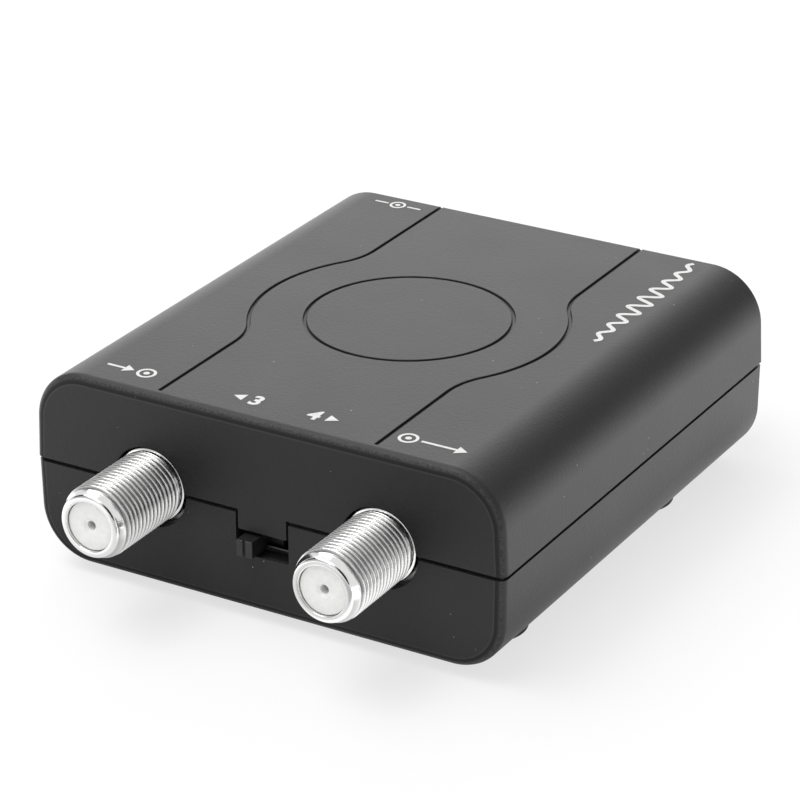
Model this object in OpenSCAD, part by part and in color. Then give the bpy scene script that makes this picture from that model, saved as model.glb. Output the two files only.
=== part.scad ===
// Television modulator in a two-part moulded case, with two threaded coax connectors on its
// front, a channel switch between them, and a power socket and three phono sockets at its back.
// X runs to the right seen from the front, Y to the back and Z up, in millimetres.
// The origin is under the middle of the whole part, on the surface that it stands on.

/* [Case] */
// Width of the upper case at the seam
body_w = 67.4; // [66:0.1:74]
// Depth of the case from front face to back face
body_d = 71.6; // [70:0.1:84]
// Height of the case from its underside to its top
body_h = 26.2; // [25.5:0.1:32]
// Height of the seam above the underside
seam_h = 13.1; // [12.2:0.1:13.4]
// Thickness of the moulded walls
wall = 2; // [1.6:0.1:2.4]
// Radius of the two long upper corners
top_r = 7.3; // [5:0.1:9]
// Radius of the two long lower corners
bottom_r = 7.1; // [5:0.1:8]
// Rounding of the front edges
edge_r = 1; // [0.4:0.1:1.4]
// Rounding of the back edges
back_edge_r = 0.6; // [0.2:0.1:1]
// Lean of the upper side walls, in degrees
upper_draft = 2.6; // [0:0.1:4]
// Lean of the lower side walls, in degrees
lower_draft = 0.9; // [0:0.1:2]
// How far the upper case overhangs the lower one
overhang = 0.15; // [0:0.05:0.3]
// Height of the dark shadow gap along the seam
shadow_h = 0.5; // [0.2:0.1:0.8]
// Depth of the shadow gap into the wall
shadow_d = 0.6; // [0.3:0.1:0.7]
// Thickness of the tongue on the lower case's rim
tongue_t = 0.9; // [0.7:0.1:1]
// Height of the tongue above the seam
tongue_h = 1; // [0.6:0.1:1.6]

/* [Top pattern] */
// Width of the moulded grooves
groove_w = 0.5; // [0.3:0.1:0.8]
// Depth of the moulded grooves
groove_d = 0.4; // [0.2:0.1:0.8]
// Radius of the circle groove
circle_r = 13.4; // [8:0.1:16]
// Half distance between the two long grooves
groove_x = 15.4; // [12:0.1:18]
// Radius of the bulges of the long grooves round the circle
bulge_r = 20.6; // [19:0.1:23]
// Radius where a long groove turns into its bulge
bulge_blend_r = 10; // [6:0.5:12]
// Distance of the long grooves' front ends from the front face
groove_start = 1.5; // [1.1:0.1:4]

/* [Coax connectors] */
// Distance of each connector's axis from the side of the case next to it
coax_side = 17.2; // [16.5:0.1:18]
// Height of the connectors' axes above the case's underside
coax_h = 13.5; // [13:0.1:14.5]
// Length of a connector in front of the case
coax_reach = 12.9; // [11:0.1:16]
// Major radius of the thread
thread_r = 4.7625; // [4.7:0.0125:4.8]
// Pitch of the thread
thread_pitch = 0.79375; // [0.75:0.00625:0.85]
// Depth of the thread
thread_depth = 0.45; // [0.3:0.05:0.5]
// Length of the smooth nose, which narrows to a rounded edge
nose_l = 1.2; // [0.8:0.1:2]
// How far the nose narrows before its rounded edge
nose_drop = 0.36; // [0.2:0.04:0.48]
// Radius of the nose's edge
nose_round = 0.3; // [0.1:0.05:0.5]
// Radius of the shoulder at the foot of the thread
shoulder_r = 5; // [4.9:0.05:5.1]
// Radius of the upper case's holes round the connectors
coax_hole_r = 5.15; // [5.15:0.05:5.8]
// Radius of the lower case's holes round the connectors
coax_lower_hole_r = 5.5; // [5.2:0.05:5.8]
// Radius of the white insulator's bore in the barrel
coax_bore_r = 3.25; // [3:0.05:3.4]
// How far the insulator lies behind the nose
insulator_recess = 0.35; // [0.1:0.05:0.6]
// Radius of the centre hole for the cable's conductor
centre_hole_r = 0.6; // [0.5:0.05:0.7]
// Radius of the centre contact
coax_contact_r = 1.1; // [1:0.05:1.3]

/* [Channel switch] */
// Width of the switch opening in the front wall
notch_w = 7.5; // [7:0.1:8.5]
// Width of the knob
knob_w = 2.3; // [1.8:0.1:2.6]
// Height of the knob
knob_h = 2.3; // [1.8:0.1:2.6]
// How far the knob stands in front of the case
knob_reach = 1.7; // [0.5:0.1:2.5]
// Travel of the knob from one channel to the other
switch_travel = 3.1; // [2:0.1:3.4]
// Height of the knob's middle above the main board
knob_rise = 3.2; // [3:0.1:3.4]
// Room over and under the knob in the case's opening
knob_room = 0.45; // [0.3:0.05:0.6]

/* [Phono sockets] */
// Distance of the socket nearest the right side from that side
phono_side = 11.7; // [11.2:0.1:12.2]
// Length of the sockets behind the case
phono_reach = 9; // [7:0.1:11]
// Outer radius of a socket's metal sleeve
phono_r = 4.15; // [4.1:0.05:4.2]
// Wall of a socket's metal sleeve
phono_sleeve_t = 0.45; // [0.3:0.05:0.7]
// Radius of the centre contact's bore
phono_bore_r = 1.62; // [1.6:0.01:1.65]
// Radius of the holes in the case round the sockets
phono_hole_r = 5; // [4.9:0.1:5.4]
// Height of the sockets' axes above the main board
phono_rise = 7.4; // [7:0.1:7.8]

/* [Power socket] */
// Distance of the power socket from the left side
power_side = 12.7; // [12:0.1:13.5]
// Gap between the power socket and the row of phono sockets
power_gap = 3.5; // [2:0.1:4]
// Height of the power socket's axis above the main board
power_rise = 6.9; // [6.6:0.1:7.4]
// Radius of the opening that takes the plug
power_bore_r = 3.15; // [2.95:0.05:3.3]
// Radius of the centre pin
power_pin_r = 1; // [0.8:0.05:1.25]
// Radius of the socket's round snout
power_snout_r = 4.4; // [4.2:0.1:4.6]

/* [Inside] */
// Height of the main board's upper face above the case's underside
board_h = 6.1; // [5.6:0.1:6.4]
// Thickness of the main board
board_t = 1.6; // [1.2:0.1:2]
// Depth of the shielding can
can_d = 32; // [28:0.5:33]
// Height of the shielding can over the board
can_h = 14.8; // [14:0.1:15.2]
// Thickness of the can's tinned sheet
sheet_t = 0.5; // [0.3:0.1:0.5]

/* [Feet and screws] */
// How far the feet stand below the case
foot_drop = 1.4; // [1:0.1:2.5]
// Radius of a foot
foot_r = 5; // [4:0.1:5.1]
// Distance of the feet's middles from the sides of the case
foot_side = 9.7; // [9.6:0.1:12]
// Distance of the front feet's middles from the front face
foot_front = 13.7; // [13.6:0.1:16]
// Distance of the back feet's middles from the back face
foot_back = 17.7; // [12:0.1:18]
// Radius of a case screw's shank
screw_r = 1.3; // [1.2:0.05:1.4]

/* [Hidden] */

$fn = 48;
// Overrun of cuts past the faces that they open
over = 0.5;
// Overlap of faces that would only touch, and the least radius of a corner
sliver = 0.01;
// Steps of the rounded front and back edges
edge_steps = 3;
// Steps of each long rounded corner
corner_steps = 10;
// Clearance of a pressed-in or running fit
fit_gap = 0.02;
// Clearance of pieces that only pass each other
pass_gap = 0.3;

// Main planes of the case
base_z = foot_drop;
seam_z = base_z + seam_h;
top_z = base_z + body_h;
front_y = (coax_reach - body_d - phono_reach) / 2;
back_y = front_y + body_d;
inner_front_y = front_y + wall;
inner_back_y = back_y - wall;
middle_y = (front_y + back_y) / 2;
half_w = body_w / 2;
lower_half_w = half_w - overhang;
inner_half_w = lower_half_w - wall;
board_z = base_z + board_h;

// Clearance between the tongue and the upper case's rebate
tongue_gap = 0.12;
// Ledge between the wall's inner face and the tongue
tongue_ledge = 0.2;
// Clearance between the switch tab and the notch that it fills
tab_gap = 0.25;

// Case screw posts
post_r = 2.8;
post_foot_r = 3.7;
// Distance of the posts from the inner side walls and from the front face
post_side = 5.05;
post_front = 5.8;
post_back = 27;
post_web_t = 1.2;
head_r = 2.2;
head_t = 1.6;
head_recess_gap = 0.3;
head_recess_d = 2.4;
head_seat_t = 1.6;
screw_slot_w = 0.7;
screw_slot_d = 0.9;
// Reach of a cross slot's arms, as a share of the head's radius
slot_reach_share = 0.62;
screw_bite = 6.5;
post_x = inner_half_w - post_side;
post_places = [
    [-post_x, front_y + post_front], [post_x, front_y + post_front],
    [-post_x, back_y - post_back], [post_x, back_y - post_back]
];

// Board screws and the bosses under the board
boss_r = 2.3;
board_screw_r = 1;
board_head_r = 1.9;
board_head_t = 1.3;
board_screw_l = 5;
board_screw_slot_w = 0.5;
board_screw_slot_d = 0.6;
boss_front = 24;
boss_back = 19.3;
boss_x = post_x;
boss_places = [
    [-boss_x, front_y + boss_front], [boss_x, front_y + boss_front],
    [-boss_x, back_y - boss_back], [boss_x, back_y - boss_back]
];

// Main board
board_gap = 0.4;
board_side_gap = 2;
board_half_w = inner_half_w - board_side_gap;
board_front_y = inner_front_y + board_gap;
board_back_y = inner_back_y - board_gap;
board_hole_r = board_screw_r + pass_gap / 2;
board_nose_x = post_x - post_r - board_gap;

// Feet
foot_seat_d = 0.5;
foot_seat_gap = 0.1;
foot_edge_r = 0.3;
foot_steps = 4;
foot_places = [
    for (side = [-1, 1], y = [front_y + foot_front, back_y - foot_back])
        [side * (half_w - foot_side), y]
];

// Bare label field under the case
label_w = 34;
label_d = 20;
label_depth = 0.3;

// Shielding can, lid and divider
can_front_gap = 0.3;
can_front_y = inner_front_y + can_front_gap;
can_back_y = can_front_y + can_d;
can_side_gap = 0.55;
lid_gap = 0.05;
lid_skirt = 4;
can_half_w = post_x - post_r - can_side_gap - sheet_t - lid_gap;
can_top_z = board_z + can_h;
divider_back_gap = 2.6;

// Coax connectors
coax_z = base_z + coax_h;
coax_x = half_w - coax_side;
coax_l = coax_reach + wall + can_front_gap;
shoulder_recess = 0.4;
shoulder_t = wall + can_front_gap - shoulder_recess;
neck_r = 3.95;
neck_gap = 0.05;
flare_r = 4.6;
flare_t = 0.6;
nose_step = 0.25;
nose_steps = 5;
nose_tip_r = thread_r - nose_step - nose_drop - nose_round;
// Flat crests, flanks and first root of the thread, as shares of its pitch
crest_share = 0.15;
flank_share = 0.35;
relief_share = 0.35;
thread_start = shoulder_t + relief_share * thread_pitch;
thread_end = coax_l - nose_l;
root_share = 1 - 2 * flank_share - crest_share;
thread_turns = floor((thread_end - thread_start) / thread_pitch + root_share);
thread_root_r = thread_r - thread_depth;
centre_hole_l = 3;
socket_l = 5;
tail_r = 0.4;
tail_l = 2.4;
contact_back = 0.6;

// Channel switch, placed by the middle of its travel
switch_gap = 0.1;
switch_y = inner_front_y + switch_gap;
frame_t = 0.4;
frame_half_w = 5.4;
frame_d = 4;
frame_h = 2 * knob_rise;
slider_l = 5.8;
slider_gap = 0.3;
slider_d = 1.8;
// How far the knob's neck reaches below its middle, behind the wall
neck_drop = 0.5;
slot_end_gap = 0.9;
knob_groove_w = 0.35;
knob_groove_d = 0.3;
base_t = 0.9;
wiper_t = 0.3;
wiper_w = 3.4;
wiper_h = 1.5;
terminal_pitch = 3;
terminal_w = 1;
terminal_t = 0.4;
terminal_rise = 4.4;
rivet_r = 0.5;
rivet_head_t = 0.1;
knob_x = -switch_travel / 2;
knob_z = board_z + knob_rise;
notch_bottom_z = knob_z - knob_h / 2 - knob_room;
notch_top_z = knob_z + knob_h / 2 + knob_room;
slot_half_w = (switch_travel + knob_w) / 2 + slot_end_gap;
window_gap = 0.4;

// Phono sockets
phono_z = board_z + phono_rise;
phono_wall_gap = 0.2;
phono_flange_t = 0.5;
phono_flange_r = 5.2;
phono_tab_w = 1.6;
phono_body_d = 12;
phono_body_h = 13.2;
phono_side_t = 0.05;
phono_inner_l = 8;
phono_insulator_recess = 0.4;
phono_mouth_r = 2.2;
phono_mouth_l = 2.2;
phono_contact_t = 0.35;
phono_tail_w = 1.2;
phono_tail_t = 0.4;
phono_flange_y = inner_back_y - phono_wall_gap;
phono_face_y = phono_flange_y - phono_flange_t;
phono_body_y = phono_face_y - phono_body_d;
phono_inner_y = phono_face_y - phono_inner_l;
phono_tip_y = back_y + phono_reach;
video_x = half_w - phono_side;
power_x = power_side - half_w;
power_w = 9;
// One pitch as a share of the span from the video socket's axis to the gap beside the power socket
pitch_share = 0.4;
phono_pitch = pitch_share * (video_x - power_x - power_w / 2 - power_gap);
left_audio_x = video_x - phono_pitch;
right_audio_x = left_audio_x - phono_pitch;

// Power socket
power_z = board_z + power_rise;
power_hole_gap = 0.3;
power_recess = 0.3;
power_l = 13;
power_top = 4.3;
power_depth = 9.6;
power_pin_l = 8.8;
power_root_r = 1.5;
power_strip_w = 2;
power_strip_t = 0.4;
power_leaf_l = 7.5;
power_face_y = inner_back_y - phono_wall_gap;
power_body_y = power_face_y - power_l;
power_mouth_y = back_y - power_recess;
power_floor_y = power_mouth_y - power_depth;

// Parts on the board
chip_l = 10.3;
chip_w = 6;
chip_t = 1.8;
chip_lift = 0.2;
chip_legs_a_side = 8;
chip_leg_pitch = 1.27;
chip_leg_w = 0.4;
chip_leg_t = 0.25;
chip_leg_reach = 0.8;
// Rows of parts behind the can's front, and the pitches along them
chip_row = 20;
coil_row = 12;
coil_pitch = 5;
disc_pitch = 6;
chip_place = [-can_half_w / 2, can_front_y + chip_row];
crystal_l = 11;
crystal_w = 4.6;
crystal_t = 3.6;
crystal_rim = 0.4;
crystal_rim_t = 0.5;
crystal_place = [can_half_w / 2, can_front_y + chip_row];
lead_r = 0.3;
choke_r = 1.3;
choke_l = 5;
lead_reach = 1.2;
choke_places = [
    for (i = [-1, 0, 1]) [can_half_w / 2 + i * coil_pitch, can_front_y + coil_row]
];
disc_r = 2.2;
disc_t = 1.5;
disc_leg = 1.2;
disc_places = [
    for (i = [-1, 0, 1]) [-can_half_w / 2 + i * disc_pitch, can_front_y + coil_row]
];
can_back_gap = 4.5;
row_y = can_back_y + can_back_gap;
cap_pitch = 9;
cap_first_x = -13;
cap_row_back = 1.5;
cap_places = [for (i = [0, 1, 2]) [cap_first_x + i * cap_pitch, row_y + cap_row_back]];
cap_r = 3.15;
cap_h = 11;
cap_bevel = 0.4;
cap_groove_r = 0.35;
cap_groove_h = 1.6;
regulator_x = 15;
regulator_place = [regulator_x, row_y];
regulator_l = 6.6;
regulator_d = 6.1;
regulator_t = 2.3;
regulator_lift = 0.5;
tab_w = 5.3;
tab_reach = 1.2;
regulator_leg_w = 0.8;
regulator_leg_pitch = 2.3;
regulator_leg_l = 2.4;
resistor_r = 1.1;
resistor_l = 4;
resistor_first_x = -14;
resistor_pitch = 4;
resistor_row_back = 10;
resistor_places = [
    for (i = [0:3]) [resistor_first_x + i * resistor_pitch, row_y + resistor_row_back]
];
diode_r = 1.35;
diode_l = 4.6;
diode_x = 8;
diode_place = [diode_x, row_y + resistor_row_back];

case_black = [0.13, 0.13, 0.13];
silver = [0.8, 0.8, 0.8];
tinned = [0.66, 0.67, 0.68];

// Outline of one half of the case, from the seam outwards, drawn in by inset all round
function half_outline(half, rise, r, draft, inset) =
    let (
        w = half - inset / cos(draft),
        h = rise - inset,
        q = max(r - inset, sliver),
        cz = h - q,
        cx = w - cz * tan(draft) - q / cos(draft),
        arc = [
            for (i = [0:corner_steps])
                let (a = draft + (90 - draft) * i / corner_steps)
                    [cx + q * cos(a), cz + q * sin(a)]
        ]
    )
    concat(
        [[w, 0]], arc,
        [for (i = [len(arc) - 1:-1:0]) [-arc[i][0], arc[i][1]]],
        [[-w, 0]]
    );

// Solid of a half outline between two depths, upright or hanging from the seam
module half_block(half, rise, r, draft, inset, y0, y1, up) {
    translate([0, y1, seam_z])
        mirror([0, 0, up ? 0 : 1])
            rotate([90, 0, 0])
                linear_extrude(y1 - y0)
                    polygon(half_outline(half, rise, r, draft, inset));
}

// Depths and insets of the sections that a half is made of, from the front face to the back face
function half_stations() =
    concat(
        [
            for (i = [edge_steps:-1:0])
                let (a = 90 * i / edge_steps)
                    [front_y + edge_r * (1 - sin(a)), edge_r * (1 - cos(a))]
        ],
        [
            for (i = [0:edge_steps])
                let (a = 90 * i / edge_steps)
                    [back_y - back_edge_r * (1 - sin(a)), back_edge_r * (1 - cos(a))]
        ]
    );

// Rounded outer solid of one half of the case, skinned over its sections
module half_shell(half, rise, r, draft, up) {
    stations = half_stations();
    outlines = [for (s = stations) half_outline(half, rise, r, draft, s[1])];
    last = len(stations) - 1;
    n = len(outlines[0]);
    skin = [
        for (k = [0:last - 1], i = [0:n - 2])
            [k * n + i, k * n + i + 1, (k + 1) * n + i + 1, (k + 1) * n + i]
    ];
    caps = [[for (i = [n - 1:-1:0]) i], [for (i = [0:n - 1]) last * n + i]];
    seam_face = concat([for (k = [0:last]) k * n], [for (k = [last:-1:0]) k * n + n - 1]);
    translate([0, 0, seam_z])
        mirror([0, 0, up ? 0 : 1])
            polyhedron(
                points = [for (k = [0:last], p = outlines[k]) [p[0], stations[k][0], p[1]]],
                faces = concat(skin, caps, [seam_face])
            );
}

// Cylinder along Y between two depths
module rod_y(r, x, y0, y1, z) {
    translate([x, y1, z])
        rotate([90, 0, 0])
            cylinder(r = r, h = y1 - y0);
}

// Upright cylinder between two heights
module rod_z(r, x, y, z0, z1) {
    translate([x, y, z0])
        cylinder(r = r, h = z1 - z0);
}

// Block between two corners
module block(low, high) {
    translate(low)
        cube(high - low);
}

// Openings in the front and back walls that both halves of the case share, with the radius of
// those round the connectors
module case_openings(coax_r) {
    for (side = [-1, 1])
        rod_y(coax_r, side * coax_x, front_y - over, inner_front_y + over, coax_z);
    for (x = [video_x, left_audio_x, right_audio_x])
        rod_y(phono_hole_r, x, inner_back_y - over, back_y + over, phono_z);
    rod_y(power_snout_r + power_hole_gap, power_x, inner_back_y - over, back_y + over, power_z);
}

// Plan of the long grooves' outline, grown by d
module strip_plan(d) {
    blend_x = groove_x + bulge_blend_r;
    blend_y = sqrt(pow(bulge_r + bulge_blend_r, 2) - pow(blend_x, 2));
    translate([0, middle_y]) {
        translate([-groove_x - d, -body_d])
            square([2 * (groove_x + d), 2 * body_d]);
        circle(r = bulge_r + d, $fn = 96);
        for (sx = [-1, 1], sy = [-1, 1])
            difference() {
                polygon([[0, 0], [sx * blend_x, sy * blend_y], [sx * (groove_x + d), sy * blend_y]]);
                translate([sx * blend_x, sy * blend_y])
                    circle(r = bulge_blend_r - d, $fn = 96);
            }
    }
}

// Moulded grooves in the top
module top_grooves() {
    translate([0, 0, top_z - groove_d]) {
        intersection() {
            linear_extrude(groove_d + over)
                difference() {
                    strip_plan(groove_w / 2);
                    strip_plan(-groove_w / 2);
                }
            translate([-half_w, front_y + groove_start, -over])
                cube([body_w, body_d, groove_d + 3 * over]);
        }
        translate([0, middle_y, 0])
            difference() {
                cylinder(r = circle_r + groove_w / 2, h = groove_d + over, $fn = 96);
                translate([0, 0, -over])
                    cylinder(r = circle_r - groove_w / 2, h = groove_d + 3 * over, $fn = 96);
            }
    }
}

// Webs that tie a post to the nearest walls
module post_webs(z0, z1) {
    for (p = post_places) {
        side = sign(p[0]);
        block(
            [min(p[0], side * half_w), p[1] - post_web_t / 2, z0],
            [max(p[0], side * half_w), p[1] + post_web_t / 2, z1]
        );
    }
    for (p = [post_places[0], post_places[1]])
        block([p[0] - post_web_t / 2, front_y, z0], [p[0] + post_web_t / 2, p[1], z1]);
}

module upper_case() color(case_black) {
    rebate_half_w = inner_half_w + tongue_t + tongue_gap;
    rebate_y = wall - tongue_t - tongue_gap;
    difference() {
        union() {
            half_shell(half_w, body_h - seam_h, top_r, upper_draft, true);
            block(
                [-notch_w / 2 + tab_gap, front_y, notch_top_z],
                [notch_w / 2 - tab_gap, inner_front_y, seam_z + shadow_h + over]
            );
        }
        difference() {
            half_block(
                half_w, body_h - seam_h, top_r, upper_draft, wall,
                inner_front_y, inner_back_y, true
            );
            for (p = post_places)
                rod_z(post_r, p[0], p[1], seam_z, top_z);
            post_webs(seam_z + tongue_h + pass_gap, top_z);
        }
        // rebate for the tongue, with the posts left standing
        difference() {
            block(
                [-rebate_half_w, front_y + rebate_y, seam_z - sliver],
                [rebate_half_w, back_y - rebate_y, seam_z + tongue_h + tongue_gap]
            );
            for (p = post_places)
                rod_z(post_r, p[0], p[1], seam_z - over, top_z);
            block(
                [-notch_w / 2 + tab_gap, front_y, seam_z - over],
                [notch_w / 2 - tab_gap, inner_front_y, seam_z + tongue_h + over]
            );
        }
        // shadow gap along the outside of the seam
        difference() {
            block([-body_w, front_y - over, seam_z - sliver], [body_w, back_y + over, seam_z + shadow_h]);
            block(
                [-half_w + shadow_d, front_y + shadow_d, seam_z - over],
                [half_w - shadow_d, back_y - shadow_d, top_z]
            );
            block(
                [-notch_w / 2 + tab_gap, front_y - 2 * over, seam_z - over],
                [notch_w / 2 - tab_gap, inner_front_y, seam_z + over]
            );
        }
        case_openings(coax_hole_r);
        top_grooves();
        for (p = post_places)
            rod_z(screw_r + fit_gap, p[0], p[1], seam_z - over, seam_z + screw_bite + over);
    }
}

module lower_case() color(case_black) {
    tongue_half_w = inner_half_w + tongue_t;
    difference() {
        union() {
            difference() {
                half_shell(lower_half_w, seam_h, bottom_r, lower_draft, false);
                difference() {
                    half_block(
                        lower_half_w, seam_h, bottom_r, lower_draft, wall,
                        inner_front_y, inner_back_y, false
                    );
                    for (p = post_places) {
                        rod_z(post_r, p[0], p[1], base_z, seam_z);
                        rod_z(post_foot_r, p[0], p[1], base_z, base_z + head_recess_d + head_seat_t);
                    }
                    post_webs(base_z, base_z + head_recess_d + head_seat_t);
                    for (p = boss_places)
                        rod_z(boss_r, p[0], p[1], base_z, board_z - board_t);
                }
            }
            // tongue that enters the upper case
            difference() {
                block(
                    [-tongue_half_w, inner_front_y - tongue_t, seam_z - over],
                    [tongue_half_w, inner_back_y + tongue_t, seam_z + tongue_h]
                );
                block(
                    [-inner_half_w - tongue_ledge, inner_front_y - tongue_ledge, seam_z - 2 * over],
                    [inner_half_w + tongue_ledge, inner_back_y + tongue_ledge, seam_z + tongue_h + over]
                );
            }
        }
        case_openings(coax_lower_hole_r);
        // notch for the switch and the tab over it
        block(
            [-notch_w / 2, front_y - over, notch_bottom_z],
            [notch_w / 2, inner_front_y + over, seam_z + tongue_h + over]
        );
        for (p = post_places) {
            rod_z(screw_r + pass_gap / 2, p[0], p[1], base_z - over, seam_z + over);
            rod_z(head_r + head_recess_gap, p[0], p[1], base_z - over, base_z + head_recess_d);
        }
        for (p = boss_places)
            rod_z(board_screw_r + fit_gap, p[0], p[1], board_z - board_screw_l - fit_gap, board_z);
        for (p = foot_places)
            rod_z(foot_r + foot_seat_gap, p[0], p[1], base_z - over, base_z + foot_seat_d);
        block(
            [-label_w / 2, middle_y - label_d / 2, base_z - over],
            [label_w / 2, middle_y + label_d / 2, base_z + label_depth]
        );
    }
}

// Cross slot of a screw head whose face is at height z, open upwards
module cross_slot(r, w, depth, z) {
    for (a = [0, 90])
        translate([0, 0, z - depth / 2 + over / 2])
            rotate([0, 0, a])
                cube([2 * r, w, depth + over], center = true);
}

module case_screws() color(silver)
    for (p = post_places)
        translate([p[0], p[1], base_z + head_recess_d]) {
            cylinder(r = screw_r, h = seam_z + screw_bite - base_z - head_recess_d);
            mirror([0, 0, 1])
                difference() {
                    cylinder(r = head_r, h = head_t);
                    cross_slot(slot_reach_share * head_r, screw_slot_w, screw_slot_d, head_t);
                }
        }

// Rubber foot with a rounded lower edge, standing on the origin
module foot() {
    h = foot_drop + foot_seat_d;
    rotate_extrude()
        polygon(concat(
            [[0, 0]],
            [
                for (i = [0:foot_steps])
                    let (a = 90 * i / foot_steps)
                        [foot_r - foot_edge_r * (1 - sin(a)), foot_edge_r * (1 - cos(a))]
            ],
            [[foot_r, h], [0, h]]
        ));
}

module rubber_feet() color([0.2, 0.2, 0.2])
    for (p = foot_places)
        translate([p[0], p[1], 0])
            foot();

module main_board() color([0.1, 0.35, 0.2])
    difference() {
        block([-board_half_w, board_front_y, board_z - board_t], [board_half_w, board_back_y, board_z]);
        for (p = post_places) {
            side = sign(p[0]);
            clear = post_r + board_gap;
            block(
                [min(p[0] - side * clear, side * body_w), p[1] - clear, board_z - board_t - over],
                [max(p[0] - side * clear, side * body_w), p[1] + clear, board_z + over]
            );
        }
        // front corners cut away past the front posts
        for (side = [-1, 1])
            block(
                [min(side * board_nose_x, side * body_w), front_y, board_z - board_t - over],
                [max(side * board_nose_x, side * body_w), front_y + post_front, board_z + over]
            );
        for (p = boss_places)
            rod_z(board_hole_r, p[0], p[1], board_z - board_t - over, board_z + over);
    }

module board_screws() color(silver)
    for (p = boss_places)
        translate([p[0], p[1], board_z]) {
            difference() {
                cylinder(r = board_head_r, h = board_head_t);
                cross_slot(
                    slot_reach_share * board_head_r, board_screw_slot_w, board_screw_slot_d, board_head_t
                );
            }
            translate([0, 0, -board_screw_l])
                cylinder(r = board_screw_r, h = board_screw_l);
        }

module shield_can() color(tinned)
    difference() {
        block([-can_half_w, can_front_y, board_z], [can_half_w, can_back_y, can_top_z]);
        block(
            [-can_half_w + sheet_t, can_front_y + sheet_t, board_z - over],
            [can_half_w - sheet_t, can_back_y - sheet_t, can_top_z + over]
        );
        for (side = [-1, 1])
            rod_y(
                neck_r + neck_gap, side * coax_x,
                can_front_y - over, can_front_y + sheet_t + over, coax_z
            );
        block(
            [-frame_half_w - window_gap, can_front_y - over, board_z - over],
            [frame_half_w + window_gap, can_front_y + sheet_t + over, board_z + frame_h + window_gap]
        );
    }

module shield_lid() color(tinned) {
    edge_x = can_half_w + lid_gap;
    edge_y = can_back_y + lid_gap;
    block(
        [-edge_x - sheet_t, can_front_y, can_top_z],
        [edge_x + sheet_t, edge_y + sheet_t, can_top_z + sheet_t]
    );
    for (side = [-1, 1])
        block(
            [min(side * edge_x, side * (edge_x + sheet_t)), can_front_y, can_top_z - lid_skirt],
            [max(side * edge_x, side * (edge_x + sheet_t)), edge_y + sheet_t, can_top_z + sheet_t / 2]
        );
    block(
        [-edge_x - sheet_t, edge_y, can_top_z - lid_skirt],
        [edge_x + sheet_t, edge_y + sheet_t, can_top_z + sheet_t / 2]
    );
}

module shield_divider() color(tinned)
    block(
        [-sheet_t / 2, switch_y + frame_d + divider_back_gap, board_z],
        [sheet_t / 2, can_back_y - sheet_t, can_top_z]
    );

// Section of a barrel: radius against distance outwards from the can's front face
function barrel_section() = concat(
    [
        [coax_bore_r, -sheet_t - flare_t], [flare_r, -sheet_t - flare_t], [flare_r, -sheet_t],
        [neck_r, -sheet_t], [neck_r, 0], [shoulder_r, 0], [shoulder_r, shoulder_t],
        [thread_root_r, shoulder_t]
    ],
    [
        for (i = [0:thread_turns - 1])
            let (s = thread_start + i * thread_pitch)
                each [
                    [thread_root_r, s],
                    [thread_r, s + flank_share * thread_pitch],
                    [thread_r, s + (flank_share + crest_share) * thread_pitch],
                    [thread_root_r, s + (2 * flank_share + crest_share) * thread_pitch]
                ]
    ],
    [[thread_root_r, thread_end], [thread_r - nose_step, thread_end]],
    [
        for (i = [0:nose_steps])
            let (a = 90 * i / nose_steps)
                [nose_tip_r + nose_round * cos(a), coax_l - nose_round * (1 - sin(a))]
    ],
    [[coax_bore_r, coax_l]]
);

// Turns a shape whose axis is Z, with outwards as +Z, to the front of the connector at x
module at_coax(x) {
    translate([x, can_front_y, coax_z])
        rotate([90, 0, 0])
            children();
}

module coax_barrel(x) color(silver)
    at_coax(x)
        rotate_extrude()
            polygon(barrel_section());

module coax_insulator(x) color([0.93, 0.93, 0.9]) {
    front = coax_l - insulator_recess;
    back = -sheet_t - flare_t;
    pocket_r = coax_contact_r + fit_gap;
    at_coax(x)
        rotate_extrude()
            polygon([
                [pocket_r, back], [coax_bore_r - fit_gap, back], [coax_bore_r - fit_gap, front],
                [centre_hole_r, front], [centre_hole_r, front - centre_hole_l],
                [pocket_r, front - centre_hole_l]
            ]);
}

module coax_contact(x) color([0.75, 0.68, 0.5]) {
    front = coax_l - insulator_recess - centre_hole_l;
    back = -sheet_t - flare_t - contact_back;
    at_coax(x) {
        difference() {
            translate([0, 0, back])
                cylinder(r = coax_contact_r, h = front - back);
            translate([0, 0, front - socket_l])
                cylinder(r = centre_hole_r, h = socket_l + over);
        }
        translate([0, 0, back - tail_l])
            cylinder(r = tail_r, h = tail_l + over);
    }
    rod_z(tail_r, x, can_front_y - back + tail_l - tail_r, board_z, coax_z);
}

module rf_in_barrel() coax_barrel(-coax_x);
module rf_in_insulator() coax_insulator(-coax_x);
module rf_in_contact() coax_contact(-coax_x);
module rf_out_barrel() coax_barrel(coax_x);
module rf_out_insulator() coax_insulator(coax_x);
module rf_out_contact() coax_contact(coax_x);

module switch_frame() color(tinned)
    difference() {
        block([-frame_half_w, switch_y, board_z], [frame_half_w, switch_y + frame_d, board_z + frame_h]);
        block(
            [-frame_half_w + frame_t, switch_y + frame_t, board_z + frame_t],
            [frame_half_w - frame_t, switch_y + frame_d + over, board_z + frame_h - frame_t]
        );
        block(
            [-slot_half_w, switch_y - over, knob_z - neck_drop - slider_gap],
            [slot_half_w, switch_y + frame_t + over, knob_z + knob_h / 2 + slider_gap]
        );
    }

module switch_base() color([0.45, 0.28, 0.15])
    difference() {
        block(
            [-frame_half_w + frame_t, switch_y + frame_d - base_t, board_z + frame_t],
            [frame_half_w - frame_t, switch_y + frame_d, board_z + frame_h - frame_t]
        );
        for (i = [-1, 0, 1])
            rod_y(
                rivet_r + fit_gap, i * terminal_pitch,
                switch_y + frame_d - base_t - over, switch_y + frame_d + over, knob_z
            );
    }

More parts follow.
